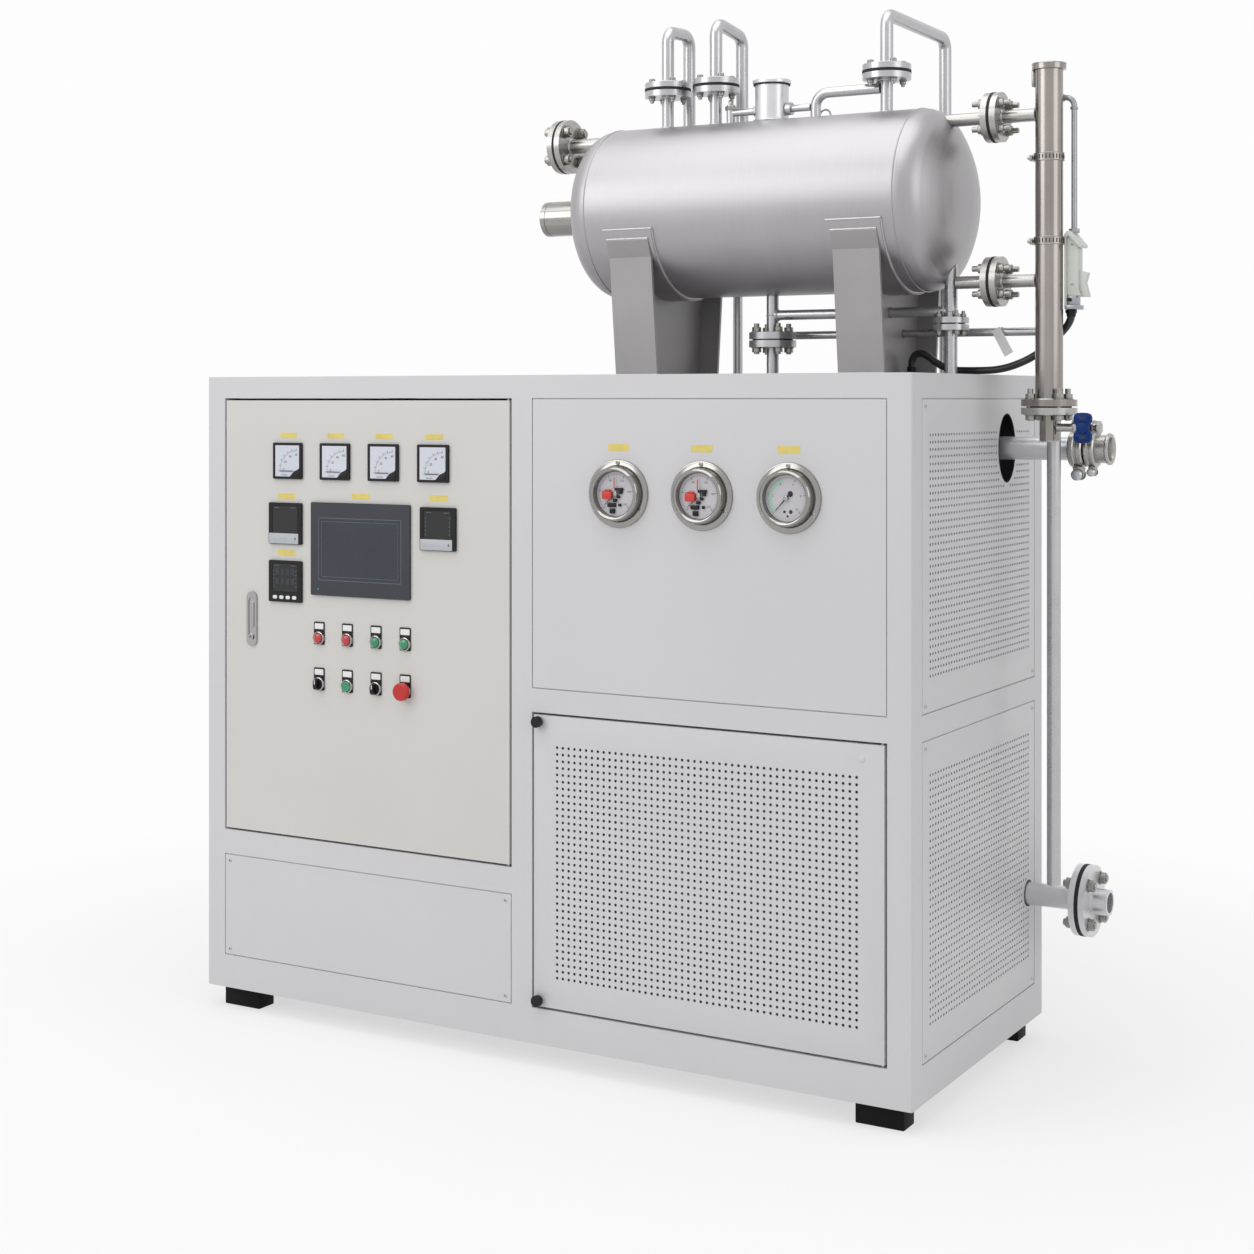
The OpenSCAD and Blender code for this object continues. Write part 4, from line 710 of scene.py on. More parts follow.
@dataclass
class PerforatedSheet:
    """A folded steel tray with a square grid of round holes, and an oval cut-out if it has one."""

    name: str
    node: str
    body: str
    place: Matrix
    wide: float
    high: float
    cells: tuple[int, int]
    folds: tuple[Pair, ...]
    cut: tuple[float, float, float, float] | None = None
    pitch: float = 14.5
    hole: float = 3.1
    thick: float = 0.9
    edge_in: float = 1.2
    edge_fold: tuple[Pair, ...] = ((-0.35, -0.35), (0.0, -1.2))
    cut_clear: float = 0.8
    core_in: float = 0.28

    def build(self) -> bpy.types.Object:
        """Builds the sheet in place of its CAD node.

        Returns:
            The sheet's object.
        """
        made = self._field()
        self._margin(made)
        self._walls(made)
        piece = Piece(self.name, self.body, "cabinet_paint")
        piece.add(made, CABINET, self.place)
        return piece.finish(self.node)

    def _on_line(self, vert: bmesh.types.BMVert) -> bool:
        """Returns whether a vertex is a corner of the grid's cells."""
        spots = [c / self.pitch + n / 2 for c, n in zip(vert.co.xy, self.cells)]
        return all(abs(s - round(s)) < 0.05 for s in spots)

    def _field(self) -> bmesh.types.BMesh:
        """Makes the grid of cells, each with its hole, without those that a cut-out meets.

        Returns:
            The flat mesh of the cells.
        """
        made = bmesh.new()
        size = Matrix.Diagonal((self.cells[0] * self.pitch, self.cells[1] * self.pitch, 1.0, 1.0))
        bmesh.ops.create_grid(made, x_segments=self.cells[0], y_segments=self.cells[1], size=0.5,
                              matrix=size)
        if self.cut:
            clear = self.pitch * self.cut_clear
            met = [f for f in made.faces if math.hypot(
                *((c - m) / (reach + clear)
                  for c, m, reach in zip(f.calc_center_median(), self.cut[:2], self.cut[2:]))) < 1.0]
            bmesh.ops.delete(made, geom=met, context="FACES")
        inner = made.faces[:]
        bmesh.ops.inset_individual(made, faces=inner, thickness=self.pitch * self.core_in)
        cores = [f for f in made.faces if not any(self._on_line(v) for v in f.verts)]
        bmesh.ops.delete(made, geom=cores, context="FACES_ONLY")
        rims = [e for e in made.edges if not any(self._on_line(v) for v in e.verts)]
        bmesh.ops.subdivide_edges(made, edges=rims, cuts=2)
        sector = math.pi / 6
        for vert in made.verts:
            if self._on_line(vert):
                continue
            middle = [(math.floor(c / self.pitch + n / 2) + 0.5 - n / 2) * self.pitch
                      for c, n in zip(vert.co.xy, self.cells)]
            angle = math.atan2(vert.co.y - middle[1], vert.co.x - middle[0])
            angle = (round(angle / sector - 0.5) + 0.5) * sector
            vert.co.x = middle[0] + self.hole * math.cos(angle)
            vert.co.y = middle[1] + self.hole * math.sin(angle)
        return made

    def _margin(self, made: bmesh.types.BMesh) -> None:
        """Fills the plain margin between the holes, the cut-out and the sheet's edge.

        Args:
            made: Flat mesh of the cells.
        """
        loops = [e for e in made.edges if e.is_boundary and all(self._on_line(v) for v in e.verts)]
        rim = 2 * self.edge_in
        frame_size = Matrix.Diagonal((self.wide - rim, self.high - rim, 1.0, 1.0))
        bmesh.ops.create_circle(made, cap_ends=False, segments=4, radius=math.sqrt(0.5),
                                matrix=frame_size @ Matrix.Rotation(math.pi / 4, 4, "Z"))
        if self.cut:
            across, up, *reach = self.cut
            oval = Matrix.Translation((across, up, 0)) @ Matrix.Diagonal((*reach, 1.0, 1.0))
            bmesh.ops.create_circle(made, cap_ends=False, segments=96, radius=1.0, matrix=oval)
        loops += [e for e in made.edges if e.is_wire]
        bmesh.ops.triangle_fill(made, use_beauty=True, use_dissolve=False, edges=loops,
                                normal=(0, 0, 1))
        bmesh.ops.recalc_face_normals(made, faces=made.faces[:])
        if sum(f.normal.z for f in made.faces) < 0:
            bmesh.ops.reverse_faces(made, faces=made.faces[:])

    def _walls(self, made: bmesh.types.BMesh) -> None:
        """Folds the edges back and gives the sheet its thickness.

        Args:
            made: Flat mesh of the whole sheet.
        """
        half = Vector((self.wide / 2, self.high / 2))
        loop = [e for e in made.edges if e.is_boundary and all(
            abs(v.co.x) > half.x - 3 and abs(v.co.y) > half.y - 3 for v in e.verts)]
        for out, drop in (*self.edge_fold, *self.folds):
            grown = bmesh.ops.extrude_edge_only(made, edges=loop)["geom"]
            tips = [g for g in grown if isinstance(g, bmesh.types.BMVert)]
            held = set(tips)
            loop = [g for g in grown if isinstance(g, bmesh.types.BMEdge) and held.issuperset(g.verts)]
            for vert in tips:
                vert.co.x = math.copysign(half.x + out, vert.co.x)
                vert.co.y = math.copysign(half.y + out, vert.co.y)
                vert.co.z = drop
        bmesh.ops.recalc_face_normals(made, faces=made.faces[:])
        top = max(made.faces, key=lambda f: f.calc_area())
        if top.normal.z < 0:
            bmesh.ops.reverse_faces(made, faces=made.faces[:])
        bmesh.ops.solidify(made, geom=made.faces[:], thickness=self.thick)


@dataclass
class Cabinet:
    """The cabinet's perforated sheets, feet, panel screws, door seals and hinge blocks."""

    face_y: float = -385.0
    side_x: float = 895.0
    back_y: float = 385.0
    low_middle: float = 445.5
    high_middle: float = 1127.5
    door_folds: tuple[Pair, ...] = ((0.0, -21.8), (-9.0, -21.8))
    panel_folds: tuple[Pair, ...] = ((0.0, -3.0), (2.2, -3.0), (2.2, -15.6))
    outlet_hole: tuple[float, ...] = (153.0, 204.5, 53.0, 74.0)
    return_hole: tuple[float, ...] = (292.0, -106.5, 26.0, 26.0)
    foot: Point = (105.0, 90.0, 50.0)
    foot_in: float = 28.0
    screw_in: float = 16.0
    low_panel: tuple[Pair, Pair] = ((-843.0, -34.0), (127.0, 366.0))
    panel_rows: tuple[float, ...] = (127.0, 764.0, 815.0, 1440.0)
    side_edges: Pair = (-333.0, 333.0)
    rear_edges: tuple[float, ...] = (-843.0, -34.0, 18.0, 843.0)
    leaves: tuple[tuple, ...] = (("control_leaf", "control_seal", -838.0, -40.0, 428.0, 1435.0),
                                 ("vent_leaf", "vent_seal", 23.0, 837.0, 132.0, 759.0))
    seal_depth: Pair = (-363.0, -355.0)
    seal_wide: float = 9.0
    seal_in: float = 2.0
    hinge_clear: float = 30.0
    hinge_feet: Pair = (132.0, 735.0)
    plug: Point = (789.0, -385.0, 729.0)

    def build(self) -> None:
        """Builds every piece of the cabinet's dress."""
        PerforatedSheet("vent_door_sheet", "vent_door", "vent_leaf",
                        aim((430.0, self.face_y, self.low_middle), FRONT), 814.0, 627.0, (49, 35),
                        self.door_folds).build()
        PerforatedSheet("side_sheet_upper", "side_panel_upper", "root",
                        aim((self.side_x, 0.0, self.high_middle), RIGHT), 661.0, 620.0, (41, 34),
                        self.panel_folds, self.outlet_hole).build()
        PerforatedSheet("side_sheet_lower", "side_panel_lower", "root",
                        aim((self.side_x, 0.0, self.low_middle), RIGHT), 661.0, 632.0, (41, 35),
                        self.panel_folds, self.return_hole).build()
        self._feet()
        self._screws()
        self._seals()
        self._hinge_blocks()

    def _feet(self) -> None:
        """Builds the four feet, each a block with a ledge towards the cabinet's middle."""
        piece = Piece("foot_blocks", "root", "black_paint")
        wide, deep, high = self.foot
        outer = self.back_y - self.foot_in
        inner = outer - deep
        shape = [(outer, 0.0), (outer, high), (inner, high), (inner + 4.0, high - 12.0),
                 (inner + 10.0, high - 18.0), (inner + 36.0, high - 20.0), (inner + 36.0, 0.0)]
        for x in (self.foot_in - self.side_x, self.side_x - self.foot_in - wide):
            for side in (-1, 1):
                piece.add(plate([(side * y, z) for y, z in shape], wide), FOOT,
                          aim((x, 0.0, 0.0), RIGHT), 3.0, 2)
        piece.finish("feet")

    def _inside(self, edges: tuple[float, ...]) -> list[float]:
        """Returns the places of the screws inside low and high edges that take turns."""
        return [edge + (-self.screw_in if i % 2 else self.screw_in) for i, edge in enumerate(edges)]

    def _screws(self) -> None:
        """Adds the pan screws in the corners of the fixed panels."""
        piece = Piece("panel_screws", "root", "bright_steel")
        for x in self._inside(self.low_panel[0]):
            for z in self._inside(self.low_panel[1]):
                pan_screw(piece, (x, self.face_y, z), FRONT)
        for side, way in ((self.side_x, RIGHT), (-self.side_x, LEFT)):
            for z in self._inside(self.panel_rows):
                for y in self._inside(self.side_edges):
                    pan_screw(piece, (side, y, z), way)
        for x in self._inside(self.rear_edges):
            for z in self._inside(self.panel_rows):
                pan_screw(piece, (x, self.back_y, z), BACK)
        piece.finish()

    def _seals(self) -> None:
        """Adds the rubber strip behind each door's edge."""
        near, far = self.seal_depth
        wide, edge, clear = self.seal_wide, self.seal_in, self.hinge_clear
        for body, name, x0, x1, z0, z1 in self.leaves:
            piece = Piece(name, body, "gasket_black")
            for low, high in (((x0 + edge, z0 + edge), (x0 + wide, z1 - edge)),
                              ((x1 - wide, z0 + clear), (x1 - edge, z1 - clear)),
                              ((x0 + wide, z0 + edge), (x1 - clear, z0 + wide)),
                              ((x0 + wide, z1 - wide), (x1 - clear, z1 - edge))):
                piece.add(slab((low[0], near, low[1]), (high[0], far, high[1])), GASKET, None, 1.2)
            piece.finish()

    def _hinge_blocks(self) -> None:
        """Adds the vent door's hole plug and the small blocks that hold its hinge pins."""
        piece = Piece("vent_hinge_blocks", "vent_leaf", "cabinet_paint")
        piece.add(lathe([(7.0, 0.0), (7.0, 0.6), (5.6, 1.6), (0.0, 2.2)], 28), CABINET,
                  aim(self.plug, FRONT))
        for z in self.hinge_feet:
            piece.add(slab((823.0, -382.5, z + 2.2), (834.5, -363.0, z + 21.8)), CABINET, None, 0.8)
        piece.finish()


# Control door

@dataclass
class ControlDoor:
    """The instruments, buttons and stickers of the control door."""

    face_y: float = -385.0
    meters: tuple[float, ...] = (-651.0, -514.0, -377.0, -240.0)
    meter_z: float = 1295.0
    controllers: tuple[Pair, ...] = ((-657.5, 1150.0), (-657.5, 1016.0), (-226.5, 1150.0))
    screen: tuple[float, ...] = (-442.0, 1095.0, 279.0, 213.0)
    button_x: tuple[float, ...] = (-560.5, -479.5, -398.5, -317.5)
    button_z: Pair = (890.0, 785.0)
    lock: Pair = (-759.0, 924.0)
    pivot: Pair = (27.0, -23.5)
    meter_sweep: float = 90.0
    meter_ticks: int = 30
    tick_in: float = 46.0
    number_out: float = 38.0
    label_up: float = 27.0
    stickers: tuple[Pair, ...] = ((-657.5, 1213.0), (-657.5, 1082.0), (-226.5, 1218.0),
                                  (-442.0, 1217.0))
    meter_sticker_z: float = 1354.0

    def at(self, x: float, z: float, out: float = 0.0) -> Matrix:
        """Works out the matrix of a place on the door, +Z out of it.

        Args:
            x: Place across.
            z: Height.
            out: Distance in front of the door.

        Returns:
            The matrix.
        """
        return aim((x, self.face_y - out, z), FRONT)

    def build(self) -> None:
        """Builds every piece on the control door."""
        self._meters()
        self._controllers()
        self._screen()
        self._buttons()
        self._labels()
        self._lock()

    def _meters(self) -> None:
        """Adds the printed faces and needles of the four square meters."""
        piece = Piece("meter_dials", "control_leaf", "dial_white")
        outline = [(-35.0, -38.0), (6.0, -38.0), (19.6, -24.2), (31.5, -19.5), (35.0, -15.8),
                   (35.0, 36.3), (-35.0, 36.3)]
        for x in self.meters:
            here = self.at(x, self.meter_z, 4.6)
            piece.add(plate(outline, 1.3), DIAL, here, 0.3, 1)
            face = here @ Matrix.Translation((*self.pivot, 1.35))
            for i in range(self.meter_ticks + 1):
                a = math.radians(180.0 - self.meter_sweep / self.meter_ticks * i)
                long, wide = (7.0, 0.9) if i % 5 == 0 else (3.5, 0.5)
                turn = Matrix.Rotation(a, 4, "Z") @ Matrix.Translation((self.tick_in + long / 2, 0, 0))
                piece.add(block((long, wide, 0.12)), INK, face @ turn)
            for i, words in enumerate(("0", "20", "40", "60")):
                a = math.radians(174.0 - 28.0 * i)
                spot = Matrix.Translation((self.number_out * math.cos(a),
                                           self.number_out * math.sin(a), 0.0))
                piece.text(words, 8.0, INK, face @ spot)
            piece.add(slab((-47.0, -0.9, 1.2), (-10.0, 0.9, 2.0)), INK, face)
            piece.add(slab((-44.0, -9.6, 0.0), (-26.0, -8.4, 0.12)), INK, face)
            cover = [(11.0, -37.0), (36.0, -37.0), (36.0, -18.0), (32.0, -22.0), (21.5, -26.0)]
            piece.add(plate(cover, 2.4), BLACK, here, 0.5)
        piece.finish()

    def _controllers(self) -> None:
        """Adds the dark windows, light strips and keys of the temperature controllers."""
        piece = Piece("controller_faces", "control_leaf", "screen_plastic")
        for i, (x, z) in enumerate(self.controllers):
            here = self.at(x, z, 4.5)
            window = here @ Matrix.Translation((0, 8, 0))
            piece.add(plate(round_rect(73.0, 65.0, 2.0), 1.2), SCREEN, window, 0.3, 1)
            for side in (-1, 1):
                piece.add(block((14.0, 1.4, 0.2)), PANEL_LINE,
                          here @ Matrix.Translation((side * 24.0, 36.5, 1.3)))
            for k in range(5 if i else 0):
                for side in (-1, 1):
                    piece.add(block((1.6, 4.0, 0.2)), PANEL_LINE,
                              here @ Matrix.Translation((side * 32.5, 24.0 - 9.0 * k, 1.3)))
            if i == 1:
                for k in range(4):
                    key = here @ Matrix.Translation((-28.5 + 19.0 * k, -37.0, 1.5))
                    piece.add(plate(round_rect(12.0, 8.0, 3.0), 1.8), WHITE, key, 0.5)
                for row in (22.0, 0.0):
                    for k in range(4):
                        digit = here @ Matrix.Translation((-22.0 + 15.0 * k, row, 1.25))
                        piece.add(plate(round_rect(9.0, 15.0, 1.0), 0.15), PANEL_DARK, digit)
                continue
            strip = here @ Matrix.Translation((-3.0, -34.8, 1.5))
            piece.add(plate(round_rect(86.0, 24.0, 1.5), 1.4), STRIP_GREY, strip, 0.4)
            piece.add(plate(round_rect(4.0, 5.0, 1.0), 0.3), PANEL_LINE,
                      strip @ Matrix.Translation((34.0, 0.0, 1.4)))
            for k in range(3):
                piece.add(plate(round_rect(11.0, 6.0, 2.5), 0.5), STRIP_GREY,
                          strip @ Matrix.Translation((-30.0 + 17.0 * k, 0.0, 1.4)), 0.2, 1)
        piece.finish()

    def _screen(self) -> None:
        """Adds the touch panel's line frame and dark window."""
        x, z, wide, high = self.screen
        piece = Piece("touch_panel_face", "control_leaf", "screen_plastic")
        here = self.at(x, z, 4.5)
        piece.add(plate(round_rect(wide - 48.0, high - 72.0, 2.0), 0.9), PANEL_DARK, here, 0.3, 1)
        for w, h, line in ((232.0, 142.0, 1.6), (216.0, 126.0, 1.0)):
            for s in (-1, 1):
                piece.add(slab((-w / 2, s * h / 2 - line / 2, 0.8), (w / 2, s * h / 2 + line / 2, 1.6)),
                          PANEL_LINE, here)
                piece.add(slab((s * w / 2 - line / 2, -h / 2, 0.8), (s * w / 2 + line / 2, h / 2, 1.6)),
                          PANEL_LINE, here)
        piece.add(bar(2.2, 0.6, 16), GREEN_LENS, self.at(x - 118.0, z - 92.0, 5.8), 0.2, 1)
        piece.finish()

    def _buttons(self) -> None:
        """Adds the lit push buttons, the rings of all eight places and the pointers."""
        piece = Piece("push_button_lenses", "control_leaf", "button_plastic")
        rings = Piece("button_rings", "control_leaf", "bright_steel")
        ring = [(12.6, 0.0), (15.6, 0.0), (15.6, 3.2), (14.8, 4.6), (13.4, 5.2), (12.6, 4.6)]
        dome = [(11.6, 0.0), (11.6, 5.6), (11.0, 7.4), (8.6, 9.4), (4.4, 10.5), (0.0, 10.8)]
        flat = [(11.6, 0.0), (11.6, 5.2), (11.0, 5.9), (8.0, 6.1), (0.0, 6.1)]
        lenses = [(self.button_x[i], self.button_z[0], dome, lens)
                  for i, lens in enumerate((RED_LENS, RED_LENS, GREEN_LENS, GREEN_LENS))]
        lenses.append((self.button_x[1], self.button_z[1], flat, GREEN_LENS))
        for x, z, shape, finish in lenses:
            piece.add(lathe(shape, 36), finish, self.at(x, z, 2.0))
            piece.add(bar(10.7, 30.0, 24), BLACK, self.at(x, z, -28.0), 0.6)
        for x in self.button_x:
            for z in self.button_z:
                rings.add(lathe(ring, 40, True), CHROME, self.at(x, z, 2.0))
        piece.finish("push_buttons")
        rings.finish()
        for name, i in (("left_selector", 0), ("right_selector", 2)):
            mark = Piece(name + "_pointer", name, "button_plastic")
            mark.add(plate(round_rect(2.2, 10.0, 1.0), 0.5), WHITE,
                     self.at(self.button_x[i], self.button_z[1] + 5.0, 18.9))
            mark.finish()

    def _labels(self) -> None:
        """Adds the blank labels of the buttons and the blank stickers over the instruments."""
        labels = Piece("button_labels", "control_leaf", "dial_white")
        for x in self.button_x:
            for z in self.button_z:
                label = plate(round_rect(25.0, 13.0, 1.0), 0.5)
                labels.add(label, LABEL, self.at(x, z + self.label_up, 1.9), 0.15, 1)
        labels.finish()
        piece = Piece("instrument_stickers", "control_leaf", "stop_plastic")
        spots = [(x, self.meter_sticker_z, 48.0, 12.0) for x in self.meters]
        spots += [(x, z, 50.0, 13.0) for x, z in self.stickers]
        for x, z, wide, high in spots:
            piece.add(plate(round_rect(wide, high, 0.8), 0.25), STICKER, self.at(x, z))
        piece.finish()

    def _lock(self) -> None:
        """Adds the lock's key barrel, its slot and the raised handle."""
        x, z = self.lock
        piece = Piece("door_lock_barrel", "control_leaf", "bright_steel")
        piece.add(lathe([(4.2, 0.0), (7.4, 0.0), (7.4, 0.9), (6.6, 1.4), (4.2, 1.2)], 32, True), CHROME,
                  self.at(x, z - 42.0, 6.0))
        piece.add(block((1.4, 6.0, 0.5)), INK, self.at(x, z - 42.0, 6.1))
        piece.add(plate(round_rect(13.0, 62.0, 6.0), 1.6), CHROME, self.at(x, z + 10.0, 2.0), 0.6)
        piece.finish()


# Gauges

@dataclass
class Gauges:
    """The three flanged round gauges over the vent door, on the gauge panel."""

    places: Point = (234.5, 432.5, 630.5)
    height: float = 1239.0
    face_y: float = -385.0
    radius: float = 47.5
    sticker_z: float = 1336.0
    screw_circle: float = 65.2
    dial_in: float = 10.0
    dial_start: float = 225.0
    dial_sweep: float = 270.0
    ticks: int = 50
    numbers: int = 5
    tick_out: float = 43.0
    number_out: float = 31.0

    def build(self) -> None:
        """Builds the cases, the dials and their stickers."""
        self._cases()
        self._dials()
        piece = Piece("gauge_stickers", "root", "stop_plastic")
        for x in self.places:
            piece.add(plate(round_rect(50.0, 15.0, 0.8), 0.25), STICKER,
                      aim((x, self.face_y, self.sticker_z), FRONT))
        piece.finish()

    def _cases(self) -> None:
        """Adds the polished flange, the rounded bezel, two dark rings of painted shade (in the gap at
        the bezel's foot and where the dial meets the bezel) and the three screws of each gauge.
        """
        piece = Piece("gauge_bezels", "root", "bright_steel")
        rim = [(50.5, -58.0), (50.5, 0.0), (72.0, 0.0), (72.0, 2.2), (71.2, 3.5), (69.6, 4.0),
               (60.2, 3.2), (58.6, 4.0), (58.0, 6.0), (58.0, 17.0), (57.2, 21.0), (55.2, 24.0),
               (52.6, 25.8), (50.4, 25.4), (48.6, 23.6), (47.8, 20.0), (47.6, 9.0), (47.6, -58.0)]
        for x in self.places:
            here = aim((x, self.face_y, self.height), FRONT)
            piece.add(lathe(rim, 80, True), RING, here)
            # Painted shade: dark rings in the gap between flange and bezel and in the joint between
            # bezel and dial.
            piece.add(hoop(59.6, 0.9, 80, 6), PAINTED_SLOT_SHADE, here @ Matrix.Translation((0, 0, 3.6)))
            piece.add(hoop(47.8, 0.8, 80, 6), PAINTED_SLOT_SHADE, here @ Matrix.Translation((0, 0, 10.6)))
            piece.add(bar(50.4, 3.0, 48), BLACK, here @ Matrix.Translation((0, 0, -60.0)), 0.8)
            for angle in (90.0, 210.0, 330.0):
                a = math.radians(angle)
                spot = here @ Matrix.Translation((self.screw_circle * math.cos(a),
                                                  self.screw_circle * math.sin(a), 3.4))
                piece.add(lathe([(4.6, 0.0), (4.6, 1.6), (3.6, 2.6), (0.0, 3.0)], 20), CHROME, spot)
                piece.add(block((6.0, 0.9, 0.5)), INK, spot @ Matrix.Translation((0, 0, 2.7)))
        piece.finish("gauge_cases")

    def _tick(self, piece: Piece, here: Matrix, angle: float, out: float, long: float,
              wide: float) -> None:
        """Adds one tick of a dial.

        Args:
            piece: Piece of the dials.
            here: Matrix of the dial's centre.
            angle: Angle in degrees from the right, anticlockwise.
            out: Radius of the tick's outer end.
            long: Length.
            wide: Width.
        """
        turn = Matrix.Rotation(math.radians(angle), 4, "Z")
        piece.add(block((long, wide, 0.15)), INK,
                  here @ turn @ Matrix.Translation((out - long / 2, 0.0, 0.1)))

    def _dials(self) -> None:
        """Adds the printed dials with their needles and contact parts."""
        piece = Piece("gauge_faces", "root", "dial_white")
        for i, x in enumerate(self.places):
            here = aim((x, self.face_y - self.dial_in, self.height), FRONT)
            piece.add(bar(self.radius, 3.0, 72), GAUGE_DIAL, here @ Matrix.Translation((0, 0, -3.0)))
            for k in range(self.ticks + 1):
                angle = self.dial_start - self.dial_sweep / self.ticks * k
                long, wide = (6.5, 1.1) if k % 10 == 0 else (3.2, 0.5)
                self._tick(piece, here, angle, self.tick_out, long, wide)
            step = 40 if i < 2 else 2
            for k in range(self.numbers + 1):
                a = math.radians(self.dial_start - self.dial_sweep / self.numbers * k)
                spot = Matrix.Translation((self.number_out * math.cos(a),
                                           self.number_out * math.sin(a), 0.05))
                piece.text(str(step * k), 6.5, INK, here @ spot)
            if i < 2:
                self._contacts(piece, here)
            else:
                band = [(33.0, 0.0), (40.0, 0.0), (40.0, 0.25), (33.0, 0.25)]
                piece.add(lathe(band, 24, True, math.radians(126.0)), GREEN_BAND,
                          here @ Matrix.Rotation(math.radians(104.0), 4, "Z"))
                for dx, dy, r in ((8.0, 9.0, 6.0), (-5.0, -27.0, 3.0), (9.0, -27.0, 4.0),
                                  (2.0, -36.0, 2.4)):
                    piece.add(bar(r, 0.4, 16), INK, here @ Matrix.Translation((dx, dy, 0.0)))
            needle = here @ Matrix.Rotation(math.radians(228.0 if i == 2 else 222.0), 4, "Z")
            blade = [(-13.0, -2.0), (2.0, -1.5), (36.0, -0.4), (36.0, 0.4), (2.0, 1.5), (-13.0, 2.0)]
            piece.add(plate(blade, 0.7), INK, needle @ Matrix.Translation((0, 0, 4.6)))
            piece.add(lathe([(4.6, 0.0), (4.6, 6.2), (3.6, 7.0), (0.0, 7.0)], 24), CHROME, here)
        piece.finish("gauge_dials")

    def _contacts(self, piece: Piece, here: Matrix) -> None:
        """Adds the contact box and pointers of a gauge with contacts.

        Args:
            piece: Piece of the dials.
            here: Matrix of the dial's centre.
        """
        piece.add(slab((-31.0, -11.0, 0.0), (-8.0, 5.0, 8.0)), RED_PART, here, 1.4)
        piece.add(slab((-25.0, 5.0, 1.0), (-12.0, 9.0, 6.0)), RED_PART, here, 1.0)
        for low, high in (((-2.0, 7.0), (18.0, 13.0)), ((8.0, 0.0), (16.0, 9.0)),
                          ((3.0, -9.0), (10.0, -3.0)), ((-19.0, -28.0), (0.0, -19.0)),
                          ((-14.0, -41.0), (-2.0, -31.0)), ((7.0, -26.0), (13.0, -20.0)),
                          ((-6.0, -17.0), (3.0, -10.0))):
            piece.add(slab((*low, 0.2), (*high, 5.0)), BLACK, here, 1.2)
        piece.add(slab((-3.0, 12.0, 5.2), (-1.0, 34.0, 6.0)), RED_PART, here)


# Expansion tank and its pipes

